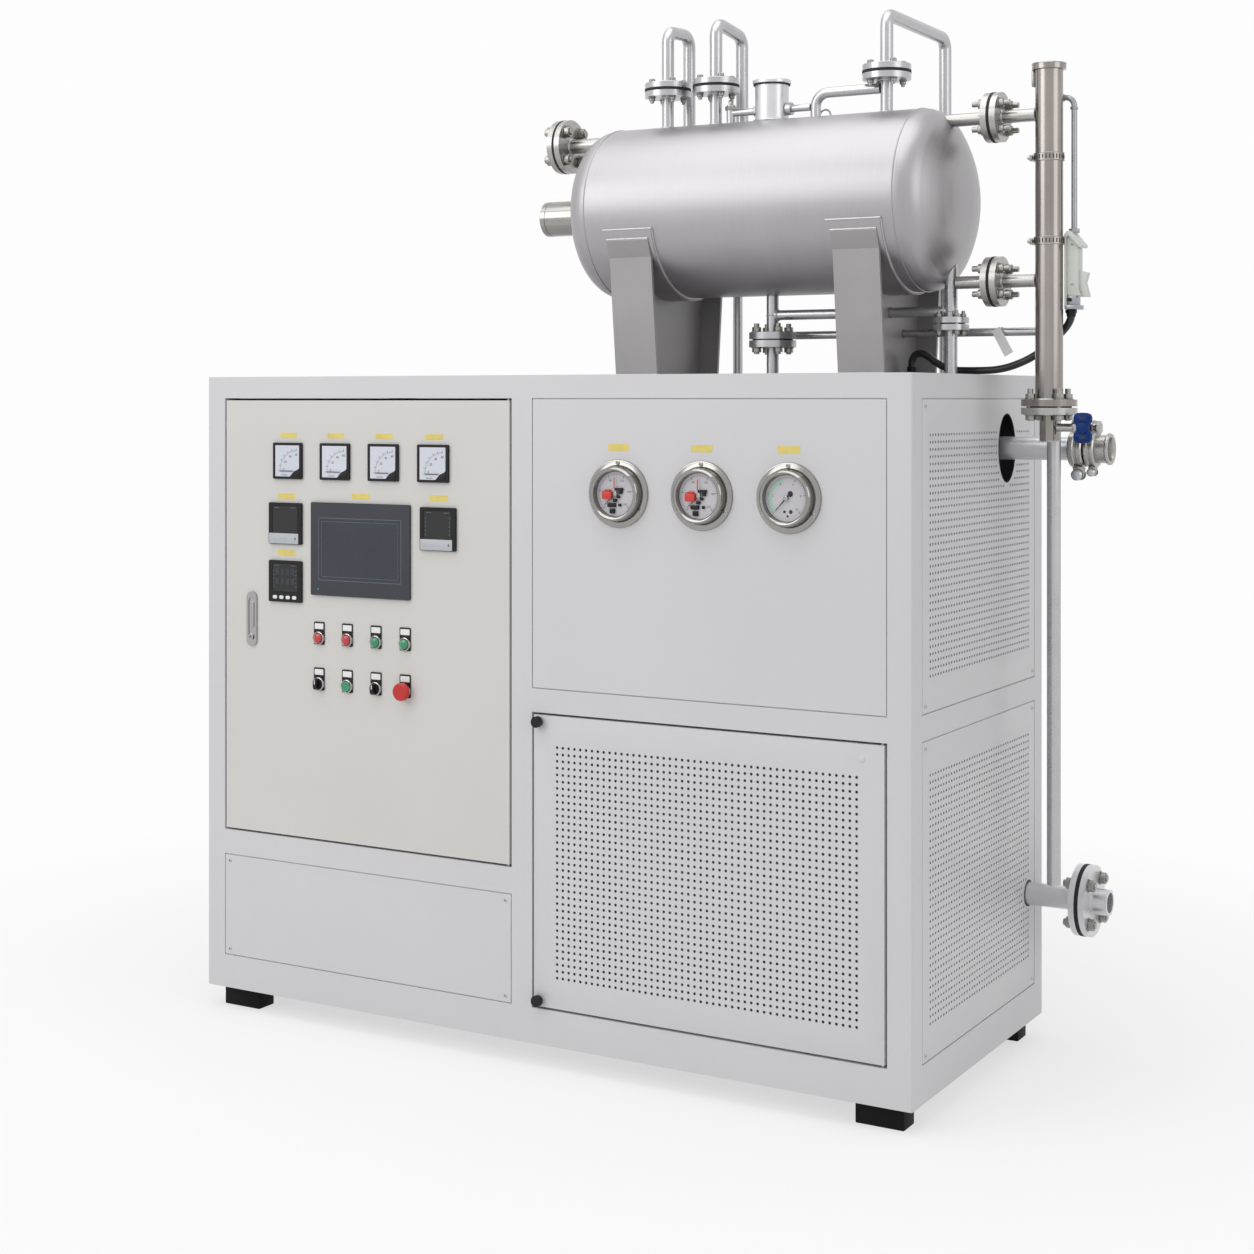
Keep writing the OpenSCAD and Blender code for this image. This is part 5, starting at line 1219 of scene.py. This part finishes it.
@dataclass
class ExpansionTank:
    """Welds, studs and fittings of the tank, its saddles and its loops."""

    axis_z: float = 1862.0
    radius: float = 195.0
    ends: Pair = (32.0, 772.0)
    seam: float = 1.6
    saddles: Pair = (141.0, 683.0)
    saddle_wide: float = 105.0
    wear_half: float = 62.5
    wear_drop: float = 50.0
    wear_skin: Pair = (200.35, 201.0)
    nozzles: Point = (140.0, 264.0, 679.0)
    nozzle_z: float = 2141.0
    loops: tuple[tuple, ...] = (("left", 2291.0, 2296.0, 103.0, 2020.0),
                                ("middle", 2302.0, 2286.0, 130.0, 2000.0),
                                ("right", 2282.0, 2279.0, 342.0, 1490.0))
    bend: float = 27.0
    pipe_r: float = 13.5
    socket: Pair = (-62.0, 41.0)
    neck: Point = (404.0, 37.5, 2137.0)
    flange: float = 15.0
    cross_z: float = 1624.0
    cross_r: float = 11.0
    arms: Pair = (1684.0, 2028.0)
    arm_welds: tuple[Pair, ...] = ((908.5, 2.2), (941.5, 2.2), (1012.4, 1.6))
    drop: Pair = (406.0, 1553.0)
    riser: Pair = (826.0, 1584.0)
    head_nozzle: Pair = (-116.0, 2030.0)

    def build(self) -> None:
        """Builds the welds, the bolting and the small fittings."""
        self._shell_welds()
        self._vent_loops()
        self._socket_and_lid()
        self._pipe_welds()
        self._bolting()
        self._fittings()

    def _shell_welds(self) -> None:
        """Adds the seams of the shell, the beads round the saddles' wear plates, and the pads and
        bright beads on the legs' tops, each leg-top bead partly a weld and partly a painted highlight
        of the leg's lit top edge.
        """
        piece = Piece("tank_welds", "root", "tank_paint")
        for x in self.ends:
            piece.add(hoop(self.radius - 0.2, self.seam, 128, 8), TANK,
                      aim((x, 0.0, self.axis_z), RIGHT))
        drop_angle = math.asin(self.wear_drop / self.radius)
        reach = math.pi - 2 * drop_angle
        turn = Matrix.Rotation(math.pi + drop_angle, 4, "Z")
        low, high = self.wear_skin
        half = self.wear_half
        skin = [(low, -half), (high, -half), (high, half), (low, half)]
        pad = [(173.0, 1748.0), (175.6, 1752.0), (189.4, 1788.0), (188.4, 1791.0), (184.0, 1791.0)]
        wide = self.saddle_wide
        for x in self.saddles:
            left = x - wide / 2
            piece.add(lathe(skin, 64, True, reach), TANK, aim((x, 0.0, self.axis_z), RIGHT) @ turn)
            for side in (-1, 1):
                piece.add(hoop(self.radius + 1.0, 1.8, 48, 8, reach), WELD,
                          aim((x + side * half, 0.0, self.axis_z), RIGHT) @ turn)
                piece.add(bar(2.2, 2 * half, 10), WELD, aim((x - half, side * 190.5, 1812.5), RIGHT))
                piece.add(plate(pad, wide), SADDLE,
                          Matrix(((0, 0, 1, left), (-side, 0, 0, 0), (0, 1, 0, 0), (0, 0, 0, 1))))
                # Bright bead on the leg's top: partly the weld to the wear plate, partly a painted
                # highlight of the leg's lit top edge.
                piece.add(bar(2.0, wide, 10), WELD, aim((left, -side * 188.6, 1791.4), RIGHT))
                piece.add(bar(2.6, wide, 10), WELD, aim((left, side * 148.5, 1491.5), RIGHT))
        piece.finish()

    def _vent_loops(self) -> None:
        """Builds the three bent loops with their upper flanges."""
        seat = self.nozzle_z + 3.0
        disc = [(12.0, 0.0), (51.5, 0.0), (52.5, 1.0), (52.5, 14.0), (51.5, 15.0), (19.0, 15.0),
                (16.0, 18.0), (12.0, 18.0)]
        for x, (side, near, far, back, end) in zip(self.nozzles, self.loops):
            piece = Piece(f"vent_loop_{side}_bends", "root", "tank_paint")
            piece.add(lathe(disc, 72, True), PIPE, aim((x, 0.0, seat), UP))
            line = [(x, 0.0, seat + 14.0), (x, 0.0, near - self.pipe_r), (x, back, far - self.pipe_r),
                    (x, back, end)]
            piece.add(sweep(line, self.pipe_r + 0.6, self.bend, 28), PIPE)
            piece.finish(f"vent_loop_{side}")

    def _socket_and_lid(self) -> None:
        """Builds the grooved socket of the left head and the filler's thin lid."""
        x, r = self.socket
        piece = Piece("head_socket_coupling", "root", "bright_steel")
        turned = [(0.0, 0.0), (r, 0.0), (r, 29.0), (r - 1.4, 29.8), (r - 1.4, 32.4), (r, 33.2),
                  (r, 104.0), (r - 1.2, 104.8), (r - 1.2, 107.0), (r, 107.8), (r, 119.4),
                  (r - 1.6, 121.0), (r - 6.0, 121.0), (r - 7.0, 117.0), (0.0, 117.0)]
        piece.add(lathe(turned, 72), SOCKET, aim((x, 0.0, self.axis_z), LEFT))
        piece.finish("head_socket")
        neck_x, neck_r, lid_z = self.neck
        lid = Piece("filler_lid_cap", "root", "tank_paint")
        cap = [(0.0, 0.0), (neck_r + 4.4, 0.0), (neck_r + 5.4, 1.2), (neck_r + 5.4, 7.2),
               (neck_r + 4.0, 8.8), (neck_r, 9.6), (0.0, 9.6)]
        lid.add(lathe(cap, 72), OIL_PIPE, aim((neck_x, 0.0, lid_z), UP))
        lid.finish("filler_lid")

    def _pipe_welds(self) -> None:
        """Adds the beads where pipes join the shell, the flanges and their elbows."""
        piece = Piece("pipe_welds", "root", "tank_paint")
        r = self.pipe_r
        for x in self.nozzles:
            collar_weld(piece, (x, 0, 2056.5), UP, r, 3.0)
            collar_weld(piece, (x, 0, self.nozzle_z - self.flange), UP, r, 2.4)
            collar_weld(piece, (x, 0, self.nozzle_z + 18.0), UP, r, 2.4)
        neck_x, neck_r, _ = self.neck
        collar_weld(piece, (neck_x, 0, 2055.0), UP, neck_r, 3.6)
        for x, z, far in ((*self.drop, 33.0), (*self.riser, 27.0)):
            collar_weld(piece, (x, 0, z), UP, r, 2.4)
            collar_weld(piece, (x, 0, z + far), UP, r, 2.4)
            collar_weld(piece, (x, 0, self.cross_z), UP, r, 1.2)
        for x in (self.drop[0] + 14.0, self.riser[0] - 14.0):
            collar_weld(piece, (x, 0, self.cross_z), RIGHT, self.cross_r, 2.0)
        for z in self.arms:
            for x, bead in self.arm_welds:
                collar_weld(piece, (x, 0, z), RIGHT, r, bead)
        x, z = self.head_nozzle
        collar_weld(piece, (x, 0, z), RIGHT, 16.5, 2.6)
        collar_weld(piece, (-14.0, 0, z - 1.0), (-0.9, 0.0, 0.45), 17.0, 3.0)
        piece.finish()

    def _bolting(self) -> None:
        """Adds the studs and nuts of every flange pair over the deck."""
        piece = Piece("flange_studs", "root", "bright_steel")
        stud = Fastener(12.0)
        for x in self.nozzles:
            Fastener(8.5).circle(piece, (x, 0.0, self.nozzle_z - self.flange), UP, 75.0, 33.0,
                                 (5.0, 0.8))
        stud.circle(piece, (self.drop[0], 0.0, self.drop[1]), UP, 75.0, 33.0, (4.0, 8.0))
        Fastener(8.0).circle(piece, (self.riser[0], 0.0, self.riser[1]), UP, 56.0, 27.0, (3.0, 6.0))
        Fastener(16.0).circle(piece, (self.head_nozzle[0], 0.0, self.head_nozzle[1]), LEFT, 90.0,
                              33.0, (4.0, 6.0))
        for z in self.arms:
            stud.circle(piece, (self.arm_welds[0][0], 0.0, z), RIGHT, 75.0, 33.0, (13.0, 13.0))
        piece.finish()

    def _fittings(self) -> None:
        """Adds the lid's gasket line, the wire eye, the vent cock's square and the hexagons."""
        piece = Piece("tank_fittings", "root", "bright_steel")
        neck_x, neck_r, lid_z = self.neck
        ring = [(neck_r, 0.0), (neck_r + 3.6, 0.0), (neck_r + 3.6, 3.0), (neck_r, 3.0)]
        piece.add(lathe(ring, 64, True), GASKET, aim((neck_x, 0, lid_z - 3.0), UP))
        piece.add(hoop(13.0, 2.3, 32, 8), PIPE, aim((522.0, 26.0, 2063.0), FRONT))
        piece.add(block((9.0, 9.0, 12.0)), BOLT, aim((302.0, 0, 2103.0), UP), 0.8)
        piece.add(bar(13.5, 9.0, 6), BOLT, aim((302.0, 0, 2086.0), UP), 0.8)
        for x in (441.5, 366.5):
            piece.add(bar(12.5, 10.0, 6), BOLT, aim((x - 5.0, 0, 2080.0), RIGHT), 0.8)
        piece.finish()


# Level column and its switch

@dataclass
class LevelColumn:
    """Bolting, band clamps, valve handle and level switch of the stainless column."""

    place_x: float = 1041.0
    radius: float = 28.5
    foot_z: float = 1437.0
    bands: Pair = (1938.0, 1765.0)
    band_over: float = 2.6
    rim_half: float = 7.6
    slots: int = 26
    valve: Pair = (1122.0, 1379.0)
    switch_x: float = 1072.3
    switch_low: float = 1623.0
    switch_gland: Point = (1080.0, 24.0, 1616.0)
    conduit_r: float = 6.0
    conduit_y: float = 22.0
    conduit_z: float = 2062.0

    def build(self) -> None:
        """Builds every piece round the column."""
        piece = Piece("column_bolting", "root", "bright_steel")
        Fastener(12.0).circle(piece, (self.place_x, 0.0, self.foot_z), DOWN, 85.0, 31.0, (11.0, 1.5))
        collar_weld(piece, (self.place_x, 0, self.foot_z), UP, self.radius, 2.4)
        collar_weld(piece, (self.place_x, 0, 1406.0), DOWN, 17.0, 2.2)
        sleeve = [(17.05, 0.0), (19.2, 0.0), (19.6, 0.6), (19.6, 51.0), (17.05, 51.0)]
        piece.add(lathe(sleeve, 48, True), COLUMN, aim((self.place_x, 0, 1352.0), UP))
        for x in (1098.0, 1146.0):
            piece.add(bar(14.5, 9.0, 6), FLANGE, aim((x - 4.5, 0, self.valve[1]), RIGHT), 0.8)
        piece.finish()
        self._bands()
        self._handle()
        self._switch()

    def _bands(self) -> None:
        """Adds the screw housings of the band clamps, the dark blocks of painted shade in their bands'
        slots, and the cap's tab.
        """
        piece = Piece("column_clamps", "root", "bright_steel")
        edge = self.place_x - self.radius - 2.5
        out = self.radius + self.band_over
        for z in self.bands:
            for rim in (-self.rim_half, self.rim_half):
                piece.add(hoop(out, 0.8, 56, 6), BOLT, aim((self.place_x, 0, z + rim), UP))
            middle = Matrix.Translation((self.place_x, 0, z))
            # Painted shade: dark blocks for the shade inside the bands' slots.
            for k in range(self.slots):
                around = middle @ Matrix.Rotation(math.tau * k / self.slots, 4, "Z")
                piece.add(block((0.5, 2.6, 9.0)), PAINTED_SLOT_SHADE, around @ Matrix.Translation((out, 0, 0)))
            piece.add(slab((edge - 9.0, -8.0, z - 7.0), (edge + 2.0, 8.0, z + 7.0)), CHROME, None, 1.4)
            piece.add(bar(3.6, 26.0, 16), BOLT, aim((edge - 5.0, -15.0, z), BACK), 0.5)
            piece.add(bar(6.4, 5.0, 6), BOLT, aim((edge - 5.0, -12.0, z), FRONT), 0.7)
        piece.add(hoop(self.radius + 6.6, 1.0, 56, 6), CHROME, aim((self.place_x, 0, 2130.6), UP))
        piece.add(slab((edge - 4.5, -9.0, 2085.0), (edge + 3.5, 9.0, 2121.0)), COLUMN, None, 3.0, 3)
        piece.finish()

    def _handle(self) -> None:
        """Adds the ball valve's two-lobed grip."""
        x, z = self.valve
        piece = Piece("valve_grip_lobes", "valve_grip", "handle_blue")
        here = aim((x, -24.2, z), FRONT)
        piece.add(lathe([(4.05, 0.0), (12.0, 0.0), (13.0, 4.0), (13.0, 9.4), (11.6, 12.0), (5.0, 13.4),
                         (0.0, 13.6), (0.0, 7.6), (4.05, 7.0)], 28), BLUE, here)
        wing = [(-13.0, 2.0), (-15.5, 8.0), (-19.0, 13.0), (-19.5, 22.0), (-17.0, 28.0),
                (-10.0, 30.8), (0.0, 31.4), (10.0, 30.8), (17.0, 28.0), (19.5, 22.0),
                (19.0, 13.0), (15.5, 8.0), (13.0, 2.0)]
        ridge = [(-12.0, 13.0), (-13.0, 21.0), (-9.0, 26.0), (9.0, 26.0), (13.0, 21.0), (12.0, 13.0)]
        for turn in (0.0, math.pi):
            spun = here @ Matrix.Rotation(turn, 4, "Z")
            piece.add(plate(wing[::-1], 8.6), BLUE, spun @ Matrix.Translation((0, 0, 1.4)), 2.4, 3)
            piece.add(plate(ridge[::-1], 3.4), BLUE, spun @ Matrix.Translation((0, 0, 9.0)), 1.2, 2)
            piece.add(plate(round_rect(12.0, 4.0, 1.9), 0.4), INK,
                      spun @ Matrix.Translation((0, 19.6, 12.3)))
        piece.finish("valve_handle")

    def _switch(self) -> None:
        """Adds the switch's housing with its sloped lid, open flap, conduit and gland nuts."""
        piece = Piece("switch_housing", "root", "white_plastic")
        x, low = self.switch_x, self.switch_low
        piece.add(slab((x, 2.0, low + 8.0), (x + 4.2, 42.0, low + 148.0)), BOX_WHITE, None, 1.0)
        piece.add(slab((x + 4.2, 6.0, low + 30.0), (x + 28.0, 38.0, low + 142.0)), BOX_WHITE, None, 2.0)
        lid = [(0.0, 146.0), (9.0, 152.0), (33.0, 126.0), (38.0, 131.0), (13.0, 162.0), (6.0, 162.0),
               (0.0, 154.0)]
        piece.add(plate(lid, 44.0), BOX_WHITE, aim((x, 44.0, low), FRONT), 1.2)
        piece.add(plate([(1.0, 128.0), (30.0, 128.0), (9.0, 152.0), (1.0, 146.0)], 30.0), BOX_WHITE,
                  aim((x, 37.0, low), FRONT), 0.8)
        flap = [(22.0, 82.0), (48.0, 75.0), (42.0, 54.0), (50.0, 25.0), (28.0, 26.0), (16.0, 46.0)]
        piece.add(plate(flap[::-1], 12.0), BOX_WHITE, aim((x, 26.0, low), FRONT), 1.4)
        brace = [(8.0, 92.0), (34.0, 28.0), (8.0, 28.0)]
        piece.add(plate(brace[::-1], 3.0), BOX_WHITE, aim((x, 10.0, low), FRONT), 0.6)
        piece.add(slab((x, 2.0, low), (x + 29.0, 42.0, low + 9.0)), CONDUIT, None, 1.2)
        piece.add(slab((x + 5.0, 8.0, low + 9.0), (x + 24.0, 36.0, low + 30.0)), CONDUIT, None, 1.0)
        piece.add(bar(4.2, 5.0, 20), BLACK, aim((x + 10.0, 8.4, low + 20.0), FRONT), 0.8)
        for dz in (52.0, 134.0):
            pan_screw(piece, (x + 16.0, 6.0, low + dz), FRONT, 2.6)
        bend_x = x + 15.0
        y, z = self.conduit_y, self.conduit_z
        line = [(self.place_x + 16.0, y, z), (bend_x, y, z), (bend_x, y, low + 140.0)]
        piece.add(sweep(line, self.conduit_r, 18.0), CONDUIT)
        piece.add(bar(11.5, 9.0, 6), CONDUIT, aim((bend_x, y, low + 158.0), UP), 0.8)
        piece.add(bar(12.5, 7.0, 6), BLACK, aim(self.switch_gland, UP), 0.8)
        piece.add(bar(10.5, 8.0, 24, 9.0), BLACK, aim(self.switch_gland, DOWN), 0.6)
        for place, way in (((bend_x, y, z - 26.0), UP), ((1060.5, y, z), RIGHT)):
            piece.add(bar(8.4, 6.0, 6), CONDUIT, aim(place, way), 0.6)
        piece.finish("level_switch")


# Oil pipes of the right side

@dataclass
class OilPipes:
    """Bolting, welds and coupling of the oil pipes, the gaskets' edges and the cable."""

    outlet: Point = (1037.0, 153.0, 1332.0)
    back: Point = (1010.0, 292.0, 339.0)
    radius: float = 25.0
    route: tuple[Point, ...] = (
        (712, 62, 1508), (712, 62, 1520), (719, 62, 1533), (733, 62, 1537), (750, 62, 1530),
        (768, 61, 1517), (790, 60, 1506), (816, 59, 1500), (846, 58, 1499), (876, 56, 1499),
        (902, 54, 1500), (928, 52, 1504), (953, 49, 1511), (978, 47, 1521), (1002, 45, 1534),
        (1024, 43, 1550), (1044, 40, 1567), (1062, 35, 1583), (1074, 28, 1596),
        (1080, 24, 1609), (1080, 24, 1623))
    cable_r: float = 8.0
    gaskets: tuple[tuple, ...] = (((1027.5, 292.0, 339.0), RIGHT, 77.5, 9.0),
                                  ((925.0, 0.0, 1684.0), RIGHT, 52.5, 6.5),
                                  ((925.0, 0.0, 2028.0), RIGHT, 52.5, 6.5),
                                  ((140.0, 0.0, 2142.5), UP, 52.5, 6.5),
                                  ((264.0, 0.0, 2142.5), UP, 52.5, 6.5),
                                  ((679.0, 0.0, 2142.5), UP, 52.5, 6.5),
                                  ((-132.5, 0.0, 2030.0), RIGHT, 62.5, 5.5))
    oval: Pair = (53.0, 74.0)
    hole_x: float = 894.0

    def cable(self) -> None:
        """Builds the black cable from the deck's gland to the level switch."""
        curve = bpy.data.curves.new("signal_cable_run", "CURVE")
        curve.dimensions, curve.bevel_depth = "3D", self.cable_r * MM
        curve.bevel_resolution, curve.use_fill_caps = 5, True
        line = curve.splines.new("POLY")
        points = self._smooth_route()
        line.points.add(len(points) - 1)
        for spot, point in zip(line.points, points):
            spot.co = (*(point * MM), 1.0)
        line.use_smooth = True
        curve.materials.append(JACKET.material())
        made = bpy.data.objects.new("signal_cable_run", curve)
        bpy.context.scene.collection.objects.link(made)
        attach(made, "root")
        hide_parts("signal_cable")

    def _coupling(self) -> None:
        """Builds the outlet's two clamp rings with their bolted ears and the rolled end."""
        piece = Piece("outlet_clamp_rings", "root", "bright_steel")
        here = aim(self.outlet, RIGHT)
        bore = self.radius - 1.0
        sleeve = [(bore, 0.0), (29.6, 0.0), (30.0, 1.0), (30.0, 80.0), (33.0, 81.5), (34.0, 84.0),
                  (34.0, 86.5), (32.6, 88.8), (29.0, 89.0), (26.0, 88.0), (bore, 84.0)]
        piece.add(lathe(sleeve, 64, True), FLANGE, here)
        for start, wide, crown in ((3.0, 31.0, 40.0), (37.0, 23.0, 39.0)):
            shell = [(29.9, 0.0), (crown - 2.6, 0.0), (crown, 2.8), (crown, wide * 0.36),
                     (crown - 1.6, wide * 0.42), (crown - 1.6, wide * 0.58), (crown, wide * 0.64),
                     (crown, wide - 2.8), (crown - 2.6, wide), (29.9, wide)]
            piece.add(lathe(shell, 64, True), FLANGE, here @ Matrix.Translation((0, 0, start)))
        x, y, z = self.outlet
        for dx, way, reach, half, thread in ((18.5, -1, 56.0, 9.0, 12.0), (18.5, 1, 55.0, 9.0, 11.0),
                                             (48.5, 1, 53.0, 7.0, 9.0), (48.5, -1, 50.0, 7.0, 9.0)):
            ear = [(-13.0, 30.0), (13.0, 30.0), (12.0, 38.0), (9.4, reach), (6.4, reach + 5.4),
                   (0.0, reach + 7.4), (-6.4, reach + 5.4), (-9.4, reach), (-12.0, 38.0)]
            share = 1.0 if half > 8 else 0.72
            outline = [(px * share, py * way) for px, py in ear]
            if way > 0:
                outline.reverse()
            for side in (-1, 1):
                near = y + (side + 1) / 2 * half + (side - 1) / 2 * 1.2
                piece.add(plate(outline[::-1], half - 1.2), FLANGE, aim((x + dx, near, z), FRONT), 1.2)
            middle = Vector((x + dx, y - half, z + way * (reach - 1.0)))
            Fastener(thread).through(piece, middle, Vector(BACK), 2 * half, (0.0, 6.0))
            piece.add(lathe([(thread, 0.0), (thread, 3.4), (thread * 0.7, 6.4), (0.0, 7.2)], 28), ZINC,
                      aim(middle + Vector((0, -thread * 0.6, 0)), FRONT))
        piece.add(lathe([(24.6, 0.0), (30.6, 0.0), (30.6, 3.0), (24.6, 3.0)], 56, True), GASKET,
                  here @ Matrix.Translation((0, 0, 34.0)))
        piece.finish("outlet_coupling")

    def _gasket_bands(self) -> None:
        """Adds the wide black gasket edges that show between the flanges."""
        piece = Piece("gasket_bands", "root", "gasket_black")
        for place, way, radius, wide in self.gaskets:
            inner, outer = radius - 0.4, radius + 0.5
            band = [(inner, -wide / 2), (outer, -wide / 2), (outer, wide / 2), (inner, wide / 2)]
            piece.add(lathe(band, 96, True), GASKET, aim(place, way))
        piece.finish()

    def _smooth_route(self) -> list[Vector]:
        """Puts three more points on a smooth curve between each two of the route.

        Returns:
            The points of the cable's centre line.
        """
        line = [Vector(p) for p in self.route]
        held = [line[0], *line, line[-1]]
        made = []
        for a, b, c, d in zip(held, held[1:], held[2:], held[3:]):
            for k in range(4):
                t = k / 4
                made.append(0.5 * (2 * b + (c - a) * t + (2 * a - 5 * b + 4 * c - d) * t * t
                                   + (3 * b - a - 3 * c + d) * t ** 3))
        return [*made, line[-1]]

    def build(self) -> None:
        """Builds the bolting, the welds and the tag."""
        piece = Piece("oil_pipe_bolting", "root", "bright_steel")
        x, y, z = self.back
        Fastener(15.0).circle(piece, self.back, RIGHT, 120.0, 35.0, (6.0, 3.0))
        collar_weld(piece, (x, y, z), RIGHT, self.radius, 3.4)
        collar_weld(piece, (x + 35.0, y, z), RIGHT, self.radius + 3.0, 3.4)
        piece.finish()
        self._coupling()
        self._gasket_bands()
        tag = Piece("cable_tag", "root", "white_plastic")
        spot = aim((918.0, 60.0, 1560.0), FRONT) @ Matrix.Rotation(0.5, 4, "Z")
        tag.add(plate(round_rect(21.0, 62.0, 1.0), 0.6), TAPE, spot, 0.15, 1)
        tag.add(hoop(10.2, 1.2, 32, 6), TAPE, aim((912.0, 75.0, 1581.0), RIGHT))
        tag.finish()
        trim = Piece("outlet_hole_trim", "root", "gasket_black")
        across, up = self.oval
        trim.add(hoop(up, 1.6, 96, 8), GASKET, aim((self.hole_x, *self.outlet[1:]), RIGHT)
                 @ Matrix.Diagonal((across / up, 1.0, 1.0, 1.0)))
        trim.add(hoop(27.6, 1.6, 56, 8), GASKET, aim((894.6, y, z), RIGHT))
        trim.finish()


# Studio

@dataclass
class Studio:
    """Camera, lamps, world and floor."""

    eye: Point = (2.438, -4.151, 1.437)
    azimuth: float = 30.1
    lens: float = 59.57
    shift_y: float = -0.1814
    world_light: float = 0.58
    backdrop: float = 0.985
    floor_size: float = 40.0
    floor_tone: float = 0.86
    fade_reach: Pair = (0.9, 2.6)
    fade_from: float = 0.62
    lamps: tuple[tuple, ...] = (("key_lamp", (-2.6, -4.6, 3.8), (0.1, 0.0, 1.0), 3.4, 84.0),
                                ("fill_lamp", (5.6, -1.2, 3.0), (0.5, 0.0, 1.0), 3.0, 36.0),
                                ("top_lamp", (0.0, -0.9, 5.2), (0.3, 0.0, 1.6), 4.2, 90.0))

    def build(self) -> None:
        """Builds the whole studio."""
        self._camera()
        self._world()
        self._floor()
        for lamp in self.lamps:
            self._lamp(*lamp)
        bpy.context.scene.view_settings.view_transform = "Standard"

    def _camera(self) -> None:
        """Adds the camera at the photograph's place."""
        lens = bpy.data.cameras.new("camera")
        lens.lens, lens.sensor_width, lens.shift_y = self.lens, 36.0, self.shift_y
        lens.clip_end = 100.0
        made = bpy.data.objects.new("camera", lens)
        made.location = self.eye
        made.rotation_euler = (math.pi / 2, 0.0, math.radians(self.azimuth))
        bpy.context.scene.collection.objects.link(made)
        bpy.context.scene.camera = made

    def _lamp(self, name: str, place: Point, target: Point, size: float, power: float) -> None:
        """Adds a soft square lamp that looks at a point.

        Args:
            name: Name of the lamp.
            place: Where it stands.
            target: Point it looks at.
            size: Side of the square.
            power: Power in watts.
        """
        data = bpy.data.lights.new(name, "AREA")
        data.size, data.energy = size, power
        made = bpy.data.objects.new(name, data)
        made.location = place
        made.rotation_euler = (Vector(target) - Vector(place)).to_track_quat("-Z", "Y").to_euler()
        bpy.context.scene.collection.objects.link(made)

    def _seen(self, tree: bpy.types.NodeTree) -> bpy.types.NodeSocket:
        """Adds the nodes that are 1 for camera, glossy and transmission rays.

        Args:
            tree: Node tree of the floor or the world.

        Returns:
            Their last socket.
        """
        path = tree.nodes.new("ShaderNodeLightPath")
        both = None
        for name in ("Is Camera Ray", "Is Glossy Ray", "Is Transmission Ray"):
            if both is None:
                both = path.outputs[name]
                continue
            join = tree.nodes.new("ShaderNodeMath")
            join.operation = "MAXIMUM"
            tree.links.new(both, join.inputs[0])
            tree.links.new(path.outputs[name], join.inputs[1])
            both = join.outputs[0]
        return both

    def _world(self) -> None:
        """Makes the world white to the eye and in metal, and softer as a light."""
        world = bpy.data.worlds.new("studio_world")
        bpy.context.scene.world = world
        world.use_nodes = True
        tree = world.node_tree
        back = tree.nodes["Background"]
        back.inputs["Color"].default_value = (1.0, 1.0, 1.0, 1.0)
        swing = tree.nodes.new("ShaderNodeMapRange")
        swing.inputs["To Min"].default_value = self.world_light
        swing.inputs["To Max"].default_value = self.backdrop
        tree.links.new(self._seen(tree), swing.inputs["Value"])
        tree.links.new(swing.outputs["Result"], back.inputs["Strength"])

    def _floor(self) -> None:
        """Adds the pale floor, which fades into the backdrop away from the object."""
        made = bmesh.new()
        bmesh.ops.create_grid(made, x_segments=8, y_segments=8, size=self.floor_size / 2)
        mesh = bpy.data.meshes.new("studio_floor")
        made.to_mesh(mesh)
        made.free()
        floor = bpy.data.objects.new("studio_floor", mesh)
        bpy.context.scene.collection.objects.link(floor)
        paint = bpy.data.materials.new("studio_floor_paint")
        paint.use_nodes = True
        tree = paint.node_tree
        tree.nodes.remove(tree.nodes["Principled BSDF"])
        matt = tree.nodes.new("ShaderNodeBsdfDiffuse")
        matt.inputs["Color"].default_value = (*(self.floor_tone,) * 3, 1.0)
        glow = tree.nodes.new("ShaderNodeEmission")
        glow.inputs["Strength"].default_value = self.backdrop
        place = tree.nodes.new("ShaderNodeTexCoord").outputs["Object"]
        far = tree.nodes.new("ShaderNodeVectorMath")
        far.operation = "LENGTH"
        tree.links.new(place, far.inputs[0])
        fade = tree.nodes.new("ShaderNodeMapRange")
        fade.inputs["From Min"].default_value = self.fade_reach[0]
        fade.inputs["From Max"].default_value = self.fade_reach[1]
        fade.inputs["To Min"].default_value = self.fade_from
        fade.inputs["To Max"].default_value = 1.0
        tree.links.new(far.outputs["Value"], fade.inputs["Value"])
        share = tree.nodes.new("ShaderNodeMath")
        share.operation = "MULTIPLY"
        tree.links.new(self._seen(tree), share.inputs[0])
        tree.links.new(fade.outputs["Result"], share.inputs[1])
        mix = tree.nodes.new("ShaderNodeMixShader")
        tree.links.new(share.outputs[0], mix.inputs["Fac"])
        tree.links.new(matt.outputs["BSDF"], mix.inputs[1])
        tree.links.new(glow.outputs["Emission"], mix.inputs[2])
        tree.links.new(mix.outputs["Shader"], tree.nodes["Material Output"].inputs["Surface"])
        mesh.materials.append(paint)


# Whole scene

def dress_nodes() -> None:
    """Gives every CAD node its finish."""
    for name, finish in NODE_FINISHES.items():
        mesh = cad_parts[name].data
        mesh.materials.clear()
        mesh.materials.append(finish.material())
        LOG.info("%s: %s", name, finish.name)


def main() -> None:
    """Builds the scene, sub-assembly by sub-assembly."""
    logging.basicConfig(level=logging.INFO, format="%(name)s %(message)s")
    Studio().build()
    pipes = OilPipes()
    pipes.cable()
    dress_nodes()
    for part in (Cabinet(), ControlDoor(), Gauges(), ExpansionTank(), LevelColumn(), pipes):
        LOG.info("building %s", type(part).__name__)
        part.build()


if __name__ == "__main__":
    main()
